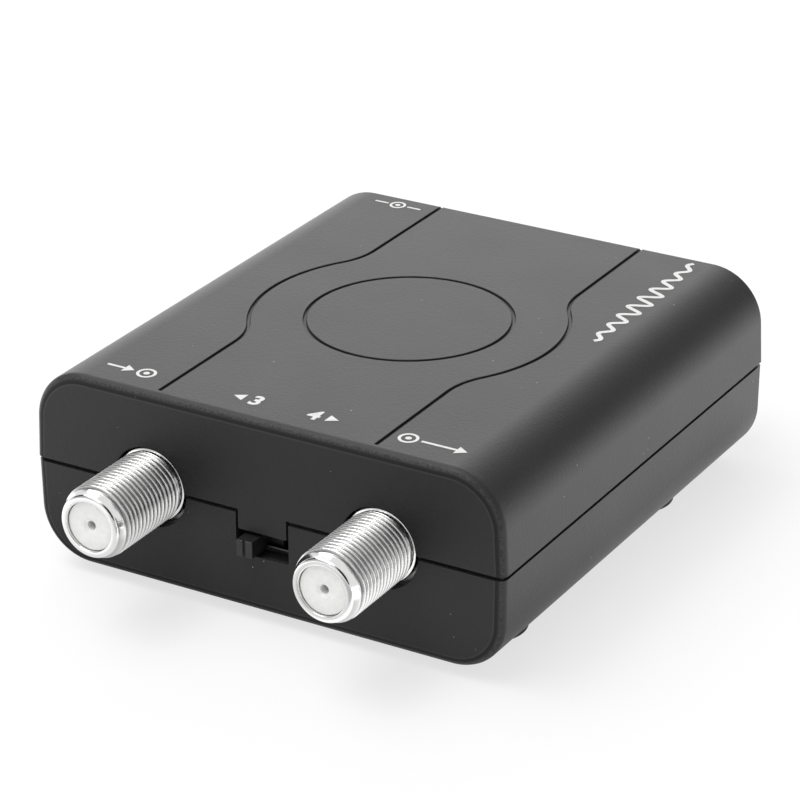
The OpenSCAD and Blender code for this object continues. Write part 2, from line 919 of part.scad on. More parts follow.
module switch_knob() color([0.05, 0.05, 0.05]) {
    slider_y = switch_y + frame_t + slider_gap;
    slider_half_h = frame_h / 2 - frame_t - slider_gap;
    difference() {
        union() {
            block(
                [knob_x - slider_l / 2, slider_y, knob_z - slider_half_h],
                [knob_x + slider_l / 2, slider_y + slider_d, knob_z + slider_half_h]
            );
            block(
                [knob_x - knob_w / 2, front_y - knob_reach, knob_z - knob_h / 2],
                [knob_x + knob_w / 2, switch_y - slider_gap, knob_z + knob_h / 2]
            );
            block(
                [knob_x - knob_w / 2, front_y, knob_z - neck_drop],
                [knob_x + knob_w / 2, slider_y + slider_d, knob_z + knob_h / 2]
            );
        }
        block(
            [knob_x - knob_groove_w / 2, front_y - knob_reach - over, knob_z - knob_h],
            [knob_x + knob_groove_w / 2, front_y - knob_reach + knob_groove_d, knob_z + knob_h]
        );
    }
}

module switch_wiper() color([0.8, 0.6, 0.35]) {
    wiper_y = switch_y + frame_t + slider_gap + slider_d;
    block(
        [knob_x - wiper_w / 2, wiper_y, knob_z - wiper_h / 2],
        [knob_x + wiper_w / 2, wiper_y + wiper_t, knob_z + wiper_h / 2]
    );
}

module switch_terminals() color([0.8, 0.6, 0.35])
    for (i = [-1, 0, 1]) {
        x = i * terminal_pitch;
        back = switch_y + frame_d;
        block(
            [x - terminal_w / 2, back, board_z],
            [x + terminal_w / 2, back + terminal_t, board_z + terminal_rise]
        );
        rod_y(rivet_r, x, back - base_t - rivet_head_t, back + terminal_t / 2, knob_z);
    }

module phono_housing() color([0.1, 0.1, 0.1])
    difference() {
        block(
            [right_audio_x - phono_pitch / 2 + phono_side_t, phono_body_y, board_z],
            [video_x + phono_pitch / 2 - phono_side_t, phono_face_y, board_z + phono_body_h]
        );
        for (x = [video_x, left_audio_x, right_audio_x]) {
            rod_y(phono_r + fit_gap, x, phono_inner_y, phono_face_y + over, phono_z);
            rod_y(
                phono_bore_r + phono_contact_t + fit_gap, x,
                phono_body_y - over, phono_inner_y + over, phono_z
            );
        }
    }

// Metal sleeve with its earth flange and tab
module phono_sleeve(x) color(silver)
    difference() {
        union() {
            rod_y(phono_r, x, phono_inner_y, phono_tip_y, phono_z);
            rod_y(phono_flange_r, x, phono_face_y, phono_flange_y, phono_z);
            block(
                [x - phono_tab_w / 2, phono_face_y, board_z],
                [x + phono_tab_w / 2, phono_flange_y, phono_z]
            );
        }
        rod_y(phono_r - phono_sleeve_t, x, phono_inner_y - over, phono_tip_y + over, phono_z);
    }

module phono_insulator(x)
    difference() {
        rod_y(
            phono_r - phono_sleeve_t - fit_gap, x,
            phono_inner_y, phono_tip_y - phono_insulator_recess, phono_z
        );
        rod_y(phono_mouth_r, x, phono_inner_y - over, phono_tip_y + over, phono_z);
        rod_y(
            phono_bore_r + phono_contact_t + fit_gap, x,
            phono_inner_y - over, phono_tip_y - phono_insulator_recess - phono_mouth_l, phono_z
        );
    }

module video_sleeve() phono_sleeve(video_x);
module left_audio_sleeve() phono_sleeve(left_audio_x);
module right_audio_sleeve() phono_sleeve(right_audio_x);
module video_insulator() color([0.9, 0.75, 0.1]) phono_insulator(video_x);
module left_audio_insulator() color([0.9, 0.9, 0.88]) phono_insulator(left_audio_x);
module right_audio_insulator() color([0.75, 0.12, 0.1]) phono_insulator(right_audio_x);

module phono_contacts() color(silver)
    for (x = [video_x, left_audio_x, right_audio_x]) {
        front = phono_tip_y - phono_insulator_recess - phono_mouth_l;
        back = phono_body_y - phono_tail_t;
        difference() {
            union() {
                rod_y(phono_bore_r + phono_contact_t, x, phono_body_y, front, phono_z);
                rod_y(phono_bore_r + phono_contact_t, x, back, phono_body_y + over, phono_z);
                block(
                    [x - phono_tail_w / 2, back, board_z],
                    [x + phono_tail_w / 2, phono_body_y, phono_z]
                );
            }
            rod_y(phono_bore_r, x, phono_inner_y, front + over, phono_z);
        }
    }

module power_housing() color([0.08, 0.08, 0.08])
    difference() {
        union() {
            block(
                [power_x - power_w / 2, power_body_y, board_z],
                [power_x + power_w / 2, power_face_y, power_z + power_top]
            );
            rod_y(power_snout_r, power_x, power_face_y - over, power_mouth_y, power_z);
        }
        rod_y(power_bore_r, power_x, power_floor_y, power_mouth_y + over, power_z);
        rod_y(power_root_r + fit_gap, power_x, power_body_y - over, power_floor_y + over, power_z);
        // channel under the bore for the spring contact
        block(
            [power_x - power_strip_w / 2, power_floor_y, power_z - power_bore_r - power_strip_t],
            [power_x + power_strip_w / 2, power_floor_y + power_leaf_l, power_z]
        );
        block(
            [power_x - power_strip_w / 2, power_floor_y, board_z - over],
            [power_x + power_strip_w / 2, power_floor_y + power_strip_t, power_z]
        );
    }

module power_pin() color(silver) {
    rod_y(power_pin_r, power_x, power_floor_y, power_floor_y + power_pin_l, power_z);
    rod_y(power_root_r, power_x, power_body_y - power_strip_t, power_floor_y, power_z);
    block(
        [power_x - power_strip_w / 2, power_body_y - power_strip_t, board_z],
        [power_x + power_strip_w / 2, power_body_y, power_z]
    );
}

module power_spring() color([0.8, 0.7, 0.45]) {
    leaf_z = power_z - power_bore_r - power_strip_t;
    block(
        [power_x - power_strip_w / 2, power_floor_y, leaf_z],
        [power_x + power_strip_w / 2, power_floor_y + power_leaf_l, leaf_z + power_strip_t]
    );
    block(
        [power_x - power_strip_w / 2, power_floor_y, board_z],
        [power_x + power_strip_w / 2, power_floor_y + power_strip_t, leaf_z + power_strip_t]
    );
}

module modulator_chip() color([0.08, 0.08, 0.09])
    translate([chip_place[0] - chip_l / 2, chip_place[1] - chip_w / 2, board_z + chip_lift])
        cube([chip_l, chip_w, chip_t]);

module chip_legs() color(silver)
    for (side = [-1, 1], i = [0:chip_legs_a_side - 1]) {
        x = chip_place[0] + (i - (chip_legs_a_side - 1) / 2) * chip_leg_pitch;
        edge = side * chip_w / 2;
        z = board_z + chip_lift + chip_t / 2;
        near = chip_place[1] + edge;
        far = near + side * chip_leg_reach;
        block(
            [x - chip_leg_w / 2, min(near, far), z - chip_leg_t],
            [x + chip_leg_w / 2, max(near, far), z]
        );
        block(
            [x - chip_leg_w / 2, min(far, far - side * chip_leg_t), board_z],
            [x + chip_leg_w / 2, max(far, far - side * chip_leg_t), z]
        );
    }

// Flat can with round ends
module crystal_solid(grow, h) {
    r = crystal_w / 2 + grow;
    for (side = [-1, 1])
        translate([side * (crystal_l - crystal_w) / 2, 0, 0])
            cylinder(r = r, h = h);
    translate([-(crystal_l - crystal_w) / 2, -r, 0])
        cube([crystal_l - crystal_w, 2 * r, h]);
}

module crystal() color(silver)
    translate([crystal_place[0], crystal_place[1], board_z]) {
        crystal_solid(crystal_rim, crystal_rim_t);
        crystal_solid(0, crystal_t);
    }

// Round part lying between two bent leads, along Y
module axial_part(place, r, l) {
    z = board_z + r + lead_r;
    reach = l / 2 + lead_reach;
    rod_y(r, place[0], place[1] - l / 2, place[1] + l / 2, z);
    rod_y(lead_r, place[0], place[1] - reach, place[1] + reach, z);
    for (side = [-1, 1])
        rod_z(lead_r, place[0], place[1] + side * (reach - lead_r), board_z, z);
}

module rf_chokes() color([0.3, 0.45, 0.3])
    for (p = choke_places)
        axial_part(p, choke_r, choke_l);

module resistors() color([0.75, 0.62, 0.42])
    for (p = resistor_places)
        axial_part(p, resistor_r, resistor_l);

module polarity_diode() color([0.12, 0.12, 0.12])
    axial_part(diode_place, diode_r, diode_l);

module ceramic_capacitors() color([0.75, 0.5, 0.2])
    for (p = disc_places) {
        z = board_z + disc_leg + disc_r;
        rod_y(disc_r, p[0], p[1] - disc_t / 2, p[1] + disc_t / 2, z);
        for (side = [-1, 1])
            rod_z(lead_r, p[0] + side * disc_r / 2, p[1], board_z, z);
    }

module electrolytic_capacitors() color([0.12, 0.14, 0.3])
    for (p = cap_places)
        translate([p[0], p[1], board_z])
            rotate_extrude()
                polygon([
                    [0, 0], [cap_r - cap_bevel, 0], [cap_r, cap_bevel],
                    [cap_r, cap_groove_h - cap_groove_r], [cap_r - cap_groove_r, cap_groove_h],
                    [cap_r, cap_groove_h + cap_groove_r],
                    [cap_r, cap_h - cap_bevel], [cap_r - cap_bevel, cap_h], [0, cap_h]
                ]);

module voltage_regulator() color([0.1, 0.1, 0.1])
    translate([regulator_place[0] - regulator_l / 2, regulator_place[1], board_z + regulator_lift])
        cube([regulator_l, regulator_d, regulator_t]);

module regulator_tab() color(silver) {
    x = regulator_place[0];
    y = regulator_place[1];
    block(
        [x - tab_w / 2, y, board_z],
        [x + tab_w / 2, y + regulator_d + tab_reach, board_z + regulator_lift]
    );
    for (side = [-1, 1])
        block(
            [x + side * regulator_leg_pitch - regulator_leg_w / 2, y - regulator_leg_l, board_z],
            [x + side * regulator_leg_pitch + regulator_leg_w / 2, y, board_z + regulator_lift]
        );
}

upper_case();
lower_case();
case_screws();
rubber_feet();
main_board();
board_screws();
shield_can();
shield_lid();
shield_divider();
rf_in_barrel();
rf_in_insulator();
rf_in_contact();
rf_out_barrel();
rf_out_insulator();
rf_out_contact();
switch_frame();
switch_base();
switch_knob();
switch_wiper();
switch_terminals();
phono_housing();
video_sleeve();
left_audio_sleeve();
right_audio_sleeve();
video_insulator();
left_audio_insulator();
right_audio_insulator();
phono_contacts();
power_housing();
power_pin();
power_spring();
modulator_chip();
chip_legs();
crystal();
rf_chokes();
ceramic_capacitors();
electrolytic_capacitors();
voltage_regulator();
regulator_tab();
resistors();
polarity_diode();
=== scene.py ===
import logging
import math
from dataclasses import dataclass
from enum import Enum
from typing import Any, Iterable, Sequence

import bmesh
import bpy
from mathutils import Matrix, Vector


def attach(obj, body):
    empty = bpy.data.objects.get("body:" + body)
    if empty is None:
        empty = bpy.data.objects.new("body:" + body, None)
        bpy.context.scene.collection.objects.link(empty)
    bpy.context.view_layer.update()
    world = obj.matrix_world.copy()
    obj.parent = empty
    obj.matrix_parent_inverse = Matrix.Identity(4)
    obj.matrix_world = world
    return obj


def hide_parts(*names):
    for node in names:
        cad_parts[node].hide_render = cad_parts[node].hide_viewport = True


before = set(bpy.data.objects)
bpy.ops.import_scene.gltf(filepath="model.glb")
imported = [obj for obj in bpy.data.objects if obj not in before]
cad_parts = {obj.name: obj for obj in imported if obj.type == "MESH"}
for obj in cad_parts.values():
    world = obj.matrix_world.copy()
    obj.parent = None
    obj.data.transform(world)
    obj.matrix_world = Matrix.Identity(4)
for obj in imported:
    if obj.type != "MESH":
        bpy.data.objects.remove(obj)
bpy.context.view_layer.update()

log = logging.getLogger("modulator")

Point2 = tuple[float, float]
Point3 = tuple[float, float, float]
Colour = tuple[float, float, float]

MM = 0.001
FIGURE_SHARE = 0.7
FIGURE_WEIGHT = 0.045
BLACK = (0.001, 0.001, 0.001, 1)
ROOT = "modulator"
SLIDER = "channel_switch_slider"


# Shapes

class Heading(Enum):
    """The way a round shape's axis points, with the two directions across it."""

    FRONT = ((1, 0, 0), (0, 0, 1), (0, -1, 0))
    BACK = ((-1, 0, 0), (0, 0, 1), (0, 1, 0))
    UP = ((1, 0, 0), (0, 1, 0), (0, 0, 1))
    DOWN = ((1, 0, 0), (0, -1, 0), (0, 0, -1))


class Joining(Enum):
    """What a solid does with another one."""

    CUT = "DIFFERENCE"
    FUSE = "UNION"


@dataclass(frozen=True)
class Place:
    """A point in millimetres with a heading, about which round shapes are turned."""

    x: float
    y: float
    z: float
    heading: Heading

    def at(self, radius: float, angle: float, along: float) -> Point3:
        """A point given by its distance from the axis, its angle and its distance along the axis."""
        across, aside, ahead = (Vector(v) for v in self.heading.value)
        spot = Vector((self.x, self.y, self.z)) + ahead * along
        spot += across * (radius * math.cos(angle)) + aside * (radius * math.sin(angle))
        return tuple(spot)


def arc(x: float, y: float, radius: float, start: float, end: float, steps: int) -> list[Point2]:
    """Points on an arc.

    Args:
        x: The centre's first coordinate.
        y: The centre's second coordinate.
        radius: The arc's radius.
        start: The first angle in degrees.
        end: The last angle in degrees.
        steps: The number of steps between them.

    Returns:
        One point more than there are steps.
    """
    turn = [math.radians(start + (end - start) * i / steps) for i in range(steps + 1)]
    return [(x + radius * math.cos(a), y + radius * math.sin(a)) for a in turn]


class Solid:
    """A closed mesh in millimetres that can be cut, joined and made into a piece."""

    def __init__(self, points: Iterable[Sequence[float]], faces: Iterable[Sequence[int]]) -> None:
        """Makes the mesh.

        Args:
            points: The corners.
            faces: The corners of each face, by number.
        """
        mesh = bpy.data.meshes.new("work")
        mesh.from_pydata([tuple(p) for p in points], [], [tuple(f) for f in faces])
        self._wrap(mesh)

    def _wrap(self, mesh: bpy.types.Mesh) -> None:
        """Takes a mesh over, merges its double corners and turns its faces outwards."""
        work = bmesh.new()
        work.from_mesh(mesh)
        bmesh.ops.remove_doubles(work, verts=work.verts, dist=1e-5)
        bmesh.ops.recalc_face_normals(work, faces=work.faces)
        work.to_mesh(mesh)
        work.free()
        self.object = bpy.data.objects.new("work", mesh)
        bpy.context.scene.collection.objects.link(self.object)

    @classmethod
    def loft(cls, rings: Sequence[Sequence[Point3]], looped: bool = False) -> "Solid":
        """Skins a row of closed rings.

        Args:
            rings: Rings with the same number of points.
            looped: Whether the last ring joins the first one, in place of flat ends.

        Returns:
            The solid.
        """
        count = len(rings[0])
        points = [p for ring in rings for p in ring]
        faces: list[Sequence[int]] = []
        for i in range(len(rings) if looped else len(rings) - 1):
            a = i * count
            b = (i + 1) % len(rings) * count
            for j in range(count):
                k = (j + 1) % count
                faces.append((a + j, a + k, b + k, b + j))
        if not looped:
            faces.append(range(count))
            faces.append(range(len(points) - count, len(points)))
        return cls(points, faces)

    @classmethod
    def lathe(
        cls, profile: Sequence[Point2], place: Place, looped: bool = False, steps: int = 72
    ) -> "Solid":
        """Turns a profile about an axis.

        Args:
            profile: Pairs of distance from the axis and distance along it.
            place: The axis.
            looped: Whether the profile closes on itself away from the axis.
            steps: The number of steps round the axis.

        Returns:
            The solid.
        """
        turn = [math.tau * i / steps for i in range(steps)]
        return cls.loft([[place.at(r, a, s) for a in turn] for r, s in profile], looped)

    @classmethod
    def prism(
        cls, outline: Sequence[Point2], low: float, high: float, heading: Heading = Heading.UP
    ) -> "Solid":
        """Stretches an outline along an axis, between two distances.

        Args:
            outline: Points across the axis.
            low: Where it starts.
            high: Where it ends.
            heading: The axis.

        Returns:
            The solid.
        """
        across, aside, ahead = (Vector(v) for v in heading.value)
        return cls.loft([
            [tuple(across * u + aside * v + ahead * s) for u, v in outline] for s in (low, high)
        ])

    @classmethod
    def block(cls, low: Point3, high: Point3, rounding: float = 0, steps: int = 3) -> "Solid":
        """A block between two corners with rounded edges.

        Args:
            low: The lowest corner.
            high: The highest corner.
            rounding: The radius of its edges.
            steps: The number of steps across an edge.

        Returns:
            The solid.
        """
        work = bmesh.new()
        bmesh.ops.create_cube(work, size=1)
        size = Vector(high) - Vector(low)
        middle = (Vector(high) + Vector(low)) / 2
        bmesh.ops.transform(
            work, matrix=Matrix.Translation(middle) @ Matrix.Diagonal(size).to_4x4(), verts=work.verts
        )
        if rounding:
            bmesh.ops.bevel(
                work, geom=work.edges[:], offset=rounding, segments=steps, profile=0.5, affect="EDGES"
            )
        mesh = bpy.data.meshes.new("work")
        work.to_mesh(mesh)
        work.free()
        made = cls.__new__(cls)
        made._wrap(mesh)
        return made

    @classmethod
    def numeral(
        cls, figure: str, height: float, x: float, y: float, low: float, high: float
    ) -> "Solid":
        """A plain upright figure on a level surface.

        Args:
            figure: What it shows.
            height: Its height.
            x: Its middle from left to right.
            y: Its middle from front to back.
            low: Its underside.
            high: Its upper face.

        Returns:
            The solid.
        """
        curve = bpy.data.curves.new("work", "FONT")
        curve.body = figure
        curve.align_x = "CENTER"
        curve.size = height / FIGURE_SHARE
        curve.offset = FIGURE_WEIGHT * height
        curve.extrude = (high - low) / 2
        curve.resolution_u = 8
        carrier = bpy.data.objects.new("work", curve)
        bpy.context.scene.collection.objects.link(carrier)
        graph = bpy.context.evaluated_depsgraph_get()
        mesh = bpy.data.meshes.new_from_object(carrier.evaluated_get(graph), depsgraph=graph)
        bpy.data.objects.remove(carrier)
        bpy.data.curves.remove(curve)
        mesh.transform(Matrix.Translation((x, y - height / 2, (low + high) / 2)))
        made = cls.__new__(cls)
        made._wrap(mesh)
        return made

    def _settle(self) -> None:
        """Turns the modifiers into mesh."""
        graph = bpy.context.evaluated_depsgraph_get()
        old = self.object.data
        made = bpy.data.meshes.new_from_object(self.object.evaluated_get(graph), depsgraph=graph)
        self.object.modifiers.clear()
        self.object.data = made
        bpy.data.meshes.remove(old)

    def drop(self) -> None:
        """Takes the solid out of the scene."""
        mesh = self.object.data
        bpy.data.objects.remove(self.object)
        bpy.data.meshes.remove(mesh)

    def join(self, others: Iterable["Solid"], how: Joining = Joining.CUT) -> "Solid":
        """Cuts other solids out, or fuses them on, and uses them up.

        Args:
            others: The other solids.
            how: What is done.

        Returns:
            This solid.
        """
        for other in others:
            step = self.object.modifiers.new("work", "BOOLEAN")
            step.operation = how.value
            step.solver = "EXACT"
            step.object = other.object
            self._settle()
            other.drop()
        return self

    def with_(self, others: Iterable["Solid"]) -> "Solid":
        """Takes up other solids that this one doesn't touch, and uses them up."""
        work = bmesh.new()
        work.from_mesh(self.object.data)
        for other in others:
            work.from_mesh(other.object.data)
            other.drop()
        work.to_mesh(self.object.data)
        work.free()
        return self

    def piece(
        self, name: str, finish: "Finish", nodes: Sequence[str], slot: str, body: str = ROOT,
        crease: float = 32
    ) -> bpy.types.Object:
        """Makes the solid a piece of the object, in metres.

        Args:
            name: The piece's name.
            finish: Its material.
            nodes: The CAD nodes that it stands for.
            slot: The record's material slot. It is not used.
            body: The body that it rides on.
            crease: The angle in degrees above which an edge stays sharp.

        Returns:
            The piece.
        """
        piece = self.object
        piece.name = name
        mesh = piece.data
        mesh.name = name
        mesh.transform(Matrix.Scale(MM, 4))
        mesh.shade_smooth()
        mesh.set_sharp_from_angle(angle=math.radians(crease))
        mesh.materials.clear()
        mesh.materials.append(finish.material())
        weighted = piece.modifiers.new("even normals", "WEIGHTED_NORMAL")
        weighted.keep_sharp = True
        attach(piece, body)
        if nodes:
            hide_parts(*nodes)
        log.info("%s: %d faces, %s", name, len(mesh.polygons), finish.name)
        return piece


# Shader nodes

class Sock:
    """One output of a node, on which sums can be written."""

    def __init__(self, tree: "Tree", socket: bpy.types.NodeSocket) -> None:
        """Wraps a socket of a tree."""
        self.tree = tree
        self.socket = socket

    def _sum(self, word: str, other: "Sock | float", swapped: bool = False) -> "Sock":
        """Adds the node of a sum.

        Args:
            word: The operation.
            other: The other side.
            swapped: Whether the other side comes first.

        Returns:
            The node's output.
        """
        pair = (other, self) if swapped else (self, other)
        kinds = {s.socket.type for s in pair if isinstance(s, Sock)}
        if "RGBA" in kinds:
            sides = [s if isinstance(s, Sock) else (s, s, s, 1) for s in pair]
            return self.tree.mix(1.0, sides[0], sides[1], word)
        if "VECTOR" in kinds:
            sides = [s if isinstance(s, Sock) else (s, s, s) for s in pair]
            return self.tree.add("VectorMath", {"operation": word}, {0: sides[0], 1: sides[1]})
        return self.tree.add("Math", {"operation": word}, {0: pair[0], 1: pair[1]})

    def __add__(self, other: "Sock | float") -> "Sock":
        """self + other."""
        return self._sum("ADD", other)

    def __radd__(self, other: float) -> "Sock":
        """other + self."""
        return self._sum("ADD", other, True)

    def __sub__(self, other: "Sock | float") -> "Sock":
        """self - other."""
        return self._sum("SUBTRACT", other)

    def __rsub__(self, other: float) -> "Sock":
        """other - self."""
        return self._sum("SUBTRACT", other, True)

    def __mul__(self, other: "Sock | float") -> "Sock":
        """self * other."""
        return self._sum("MULTIPLY", other)

    def __rmul__(self, other: float) -> "Sock":
        """other * self."""
        return self._sum("MULTIPLY", other, True)

    def __gt__(self, other: "Sock | float") -> "Sock":
        """1 where self is greater than other, and 0 elsewhere."""
        return self._sum("GREATER_THAN", other)

    def __or__(self, other: "Sock | float") -> "Sock":
        """The greater of the two."""
        return self._sum("MAXIMUM", other)

    def __mod__(self, other: float) -> "Sock":
        """What is left of self after whole steps of other."""
        return self._sum("FLOORED_MODULO", other)


class Tree:
    """The node tree of a material or of the world."""

    def __init__(self, owner: bpy.types.Material | bpy.types.World) -> None:
        """Empties the owner's tree."""
        owner.use_nodes = True
        self.nodes = owner.node_tree.nodes
        self.links = owner.node_tree.links
        self.nodes.clear()

    def node(self, kind: str, settings: dict[str, Any], inputs: dict[Any, Any]) -> bpy.types.Node:
        """Adds a node.

        Args:
            kind: Its type, without the leading words.
            settings: Its settings, set first.
            inputs: Values or links by the name or number of the socket.

        Returns:
            The node.
        """
        node = self.nodes.new("ShaderNode" + kind)
        for word, value in settings.items():
            setattr(node, word, value)
        for key, value in inputs.items():
            if isinstance(value, Sock):
                self.links.new(value.socket, node.inputs[key])
            else:
                node.inputs[key].default_value = value
        return node

    def add(
        self, kind: str, settings: dict[str, Any] | None = None, inputs: dict[Any, Any] | None = None,
        output: str | int = 0
    ) -> Sock:
        """Adds a node and gives one of its outputs."""
        return Sock(self, self.node(kind, settings or {}, inputs or {}).outputs[output])

    def mix(self, factor: Any, first: Any, second: Any, blend: str = "MIX") -> Sock:
        """Mixes two colours."""
        return self.add(
            "Mix", {"data_type": "RGBA", "blend_type": blend}, {0: factor, 6: first, 7: second}, 2
        )

    def blend(self, factor: Sock, first: float, second: float) -> Sock:
        """A number that goes from first to second as factor goes from 0 to 1."""
        return factor * (second - first) + first

    def place(self) -> Sock:
        """The point on the surface, in millimetres."""
        return self.add("TexCoord", output="Object") * (1 / MM)

    def axes(self, point: Sock) -> tuple[Sock, Sock, Sock]:
        """The three coordinates of a point."""
        split = self.node("SeparateXYZ", {}, {0: point})
        return Sock(self, split.outputs[0]), Sock(self, split.outputs[1]), Sock(self, split.outputs[2])

    def noise(self, point: Sock, size: float, detail: float = 2, roughness: float = 0.5) -> Sock:
        """Cloudy noise from 0 to 1, with blotches of a size in millimetres."""
        return self.add("TexNoise", {}, {
            "Vector": point, "Scale": 1 / size, "Detail": detail, "Roughness": roughness
        })

    def cells(self, point: Sock, size: float, output: str = "Distance") -> Sock:
        """A pattern of cells of a size in millimetres."""
        return self.add("TexVoronoi", {}, {"Vector": point, "Scale": 1 / size}, output)

    def ramp(self, value: Sock, stops: Sequence[tuple[float, float]]) -> Sock:
        """A smooth step: the number that the stops give to a value."""
        (start, low), (end, high) = stops
        return self.add(
            "MapRange", {"interpolation_type": "SMOOTHSTEP"},
            {"Value": value, "From Min": start, "From Max": end, "To Min": low, "To Max": high},
        )

    def band(self, value: Sock, steps: tuple[float, float, float, float]) -> Sock:
        """1 where a value is between the middle two steps, and 0 beyond the outer two."""
        start, full, fade, end = steps
        rise = self.ramp(value, ((start, 0.0), (full, 1.0)))
        return rise * self.ramp(value, ((fade, 1.0), (end, 0.0)))

    def bump(self, height: Sock) -> Sock:
        """The normal of a surface whose height is given in millimetres."""
        return self.add("Bump", {}, {"Height": height, "Distance": MM, "Strength": 1.0})


# Finishes

@dataclass(frozen=True)
class Finish:
    """What a surface is made of, and how it looks all over."""

    name: str
    colour: Colour
    roughness: float = 0.5
    metallic: float = 0.0
    coat: float = 0.0
    specular: float = 0.5

    def material(self) -> bpy.types.Material:
        """The material, made once and then used again."""
        made = bpy.data.materials.get(self.name)
        if made is None:
            made = bpy.data.materials.new(self.name)
            tree = Tree(made)
            look = {
                "Base Color": (*self.colour, 1), "Roughness": self.roughness, "Metallic": self.metallic,
                "Coat Weight": self.coat, "Specular IOR Level": self.specular,
            }
            look.update(self.dress(tree, tree.place()))
            shader = tree.add("BsdfPrincipled", {}, look)
            tree.node("OutputMaterial", {}, {"Surface": shader})
        return made

    def dress(self, tree: Tree, point: Sock) -> dict[str, Any]:
        """What varies over the surface.

        Args:
            tree: The material's nodes.
            point: The place on the surface in millimetres.

        Returns:
            Links by the name of the shader's socket.
        """
        cloud = tree.noise(point, 3.0)
        return {"Roughness": tree.blend(cloud, self.roughness * 0.85, self.roughness * 1.15)}


@dataclass(frozen=True)
class MouldedPlastic(Finish):
    """Plastic from a fine grained mould, with a few specks of dust."""

    grain: float = 0.16
    depth: float = 0.006
    dust: float = 0.0
    speck_pitch: float = 2.4
    speck_core: float = 0.024
    speck_edge: float = 0.046
    speck_colour: Colour = (0.35, 0.35, 0.34)

    def dress(self, tree: Tree, point: Sock) -> dict[str, Any]:
        """Grain in the height, soft clouds in colour and gloss, and sparse pale specks."""
        grain = tree.noise(point, self.grain, 2, 0.6) * 0.5
        grain = grain + tree.noise(point, self.grain * 2.6, 2) * 0.8
        cloud = tree.noise(point, 9.0, 2)
        fine = tree.noise(point, self.grain * 2.2, 2, 0.7)
        dark = tuple(c * 0.86 for c in self.colour) + (1,)
        pale = tuple(c * 1.2 for c in self.colour) + (1,)
        colour = tree.mix(fine * 0.6 + cloud * 0.4, dark, pale)
        if self.dust:
            cells = tree.cells(point, self.speck_pitch)
            speck = tree.ramp(cells, ((self.speck_core, 1), (self.speck_edge, 0)))
            some = tree.ramp(tree.noise(point, 5.0, 1), ((0.5, 0), (0.66, 1)))
            colour = tree.mix(speck * some * self.dust, colour, (*self.speck_colour, 1))
        gloss = cloud * 0.5 + fine * 0.5
        return {
            "Base Color": colour,
            "Roughness": tree.blend(gloss, self.roughness - 0.05, self.roughness + 0.05),
            "Normal": tree.bump(grain * self.depth),
        }


@dataclass(frozen=True)
class CasePlastic(MouldedPlastic):
    """The case's plastic: its rounded front and back edges carry patchy rubbed wear, painted paler also
    as a painted highlight, and end in a painted shade line and a painted highlight rim.
    """

    # paler colour of the rubbed fillet: real wear, and a painted highlight too
    rubbed_sheen: Colour = (0.042, 0.042, 0.043)
    # colour of the rim, paler as a painted highlight
    pale: Colour = (0.045, 0.045, 0.046)
    worn_sheen_depths: tuple[float, float, float, float] = (0.14, 0.22, 0.3, 0.7)
    shade_line_depths: tuple[float, float, float, float] = (0.045, 0.055, 0.08, 0.17)
    highlight_rim_depths: tuple[float, float, float, float] = (0.003, 0.012, 0.035, 0.05)

    def dress(self, tree: Tree, point: Sock) -> dict[str, Any]:
        """Bands by the depth below the front or back face, whichever is nearer: patchy wear that is
        also a painted highlight, a painted shade line and a painted highlight rim.
        """
        look = super().dress(tree, point)
        y = tree.axes(point)[1]
        near, far = y - CASE.front, CASE.back - y
        deep = tree.add("Math", {"operation": "MINIMUM"}, {0: near, 1: far})
        # painted shade: a dark line where the fillet ends
        line = tree.band(deep, self.shade_line_depths)
        # painted highlight: a pale rim on the narrow land at the face
        rim = tree.band(deep, self.highlight_rim_depths)
        # patchy rubbed wear on the fillet, which also stands in for a broader highlight
        worn = tree.band(deep, self.worn_sheen_depths)
        patchy = tree.ramp(tree.noise(point, 0.35, 3, 0.7), ((0.35, 0.0), (0.62, 1.0)))
        colour = tree.mix(worn * patchy, look["Base Color"], (*self.rubbed_sheen, 1))
        colour = tree.mix(line * 0.6, colour, BLACK)
        look["Base Color"] = tree.mix(rim * 0.4, colour, (*self.pale, 1))
        look["Roughness"] = look["Roughness"] + line * 0.15
        return look


@dataclass(frozen=True)
class TurnedMetal(Finish):
    """Plated metal with the faint rings that turning leaves."""

    along: int = 1
    rings: float = 0.11
    depth: float = 0.0012

    def dress(self, tree: Tree, point: Sock) -> dict[str, Any]:
        """Rings across the axis, and clouds of slightly duller plating."""
        step = tree.axes(point)[self.along]
        thin = tree.add("CombineXYZ", {}, {self.along: step * (1 / self.rings)})
        rings = tree.noise(thin, 1.0, 3.0, 0.6)
        cloud = tree.noise(point, 1.6, 3, 0.6)
        dark = tuple(c * 0.9 for c in self.colour) + (1,)
        gloss = cloud * 0.6 + rings * 0.4
        return {
            "Base Color": tree.mix(cloud, dark, (*self.colour, 1)),
            "Roughness": tree.blend(gloss, self.roughness * 0.7, self.roughness * 1.4),
            "Normal": tree.bump(rings * self.depth),
        }


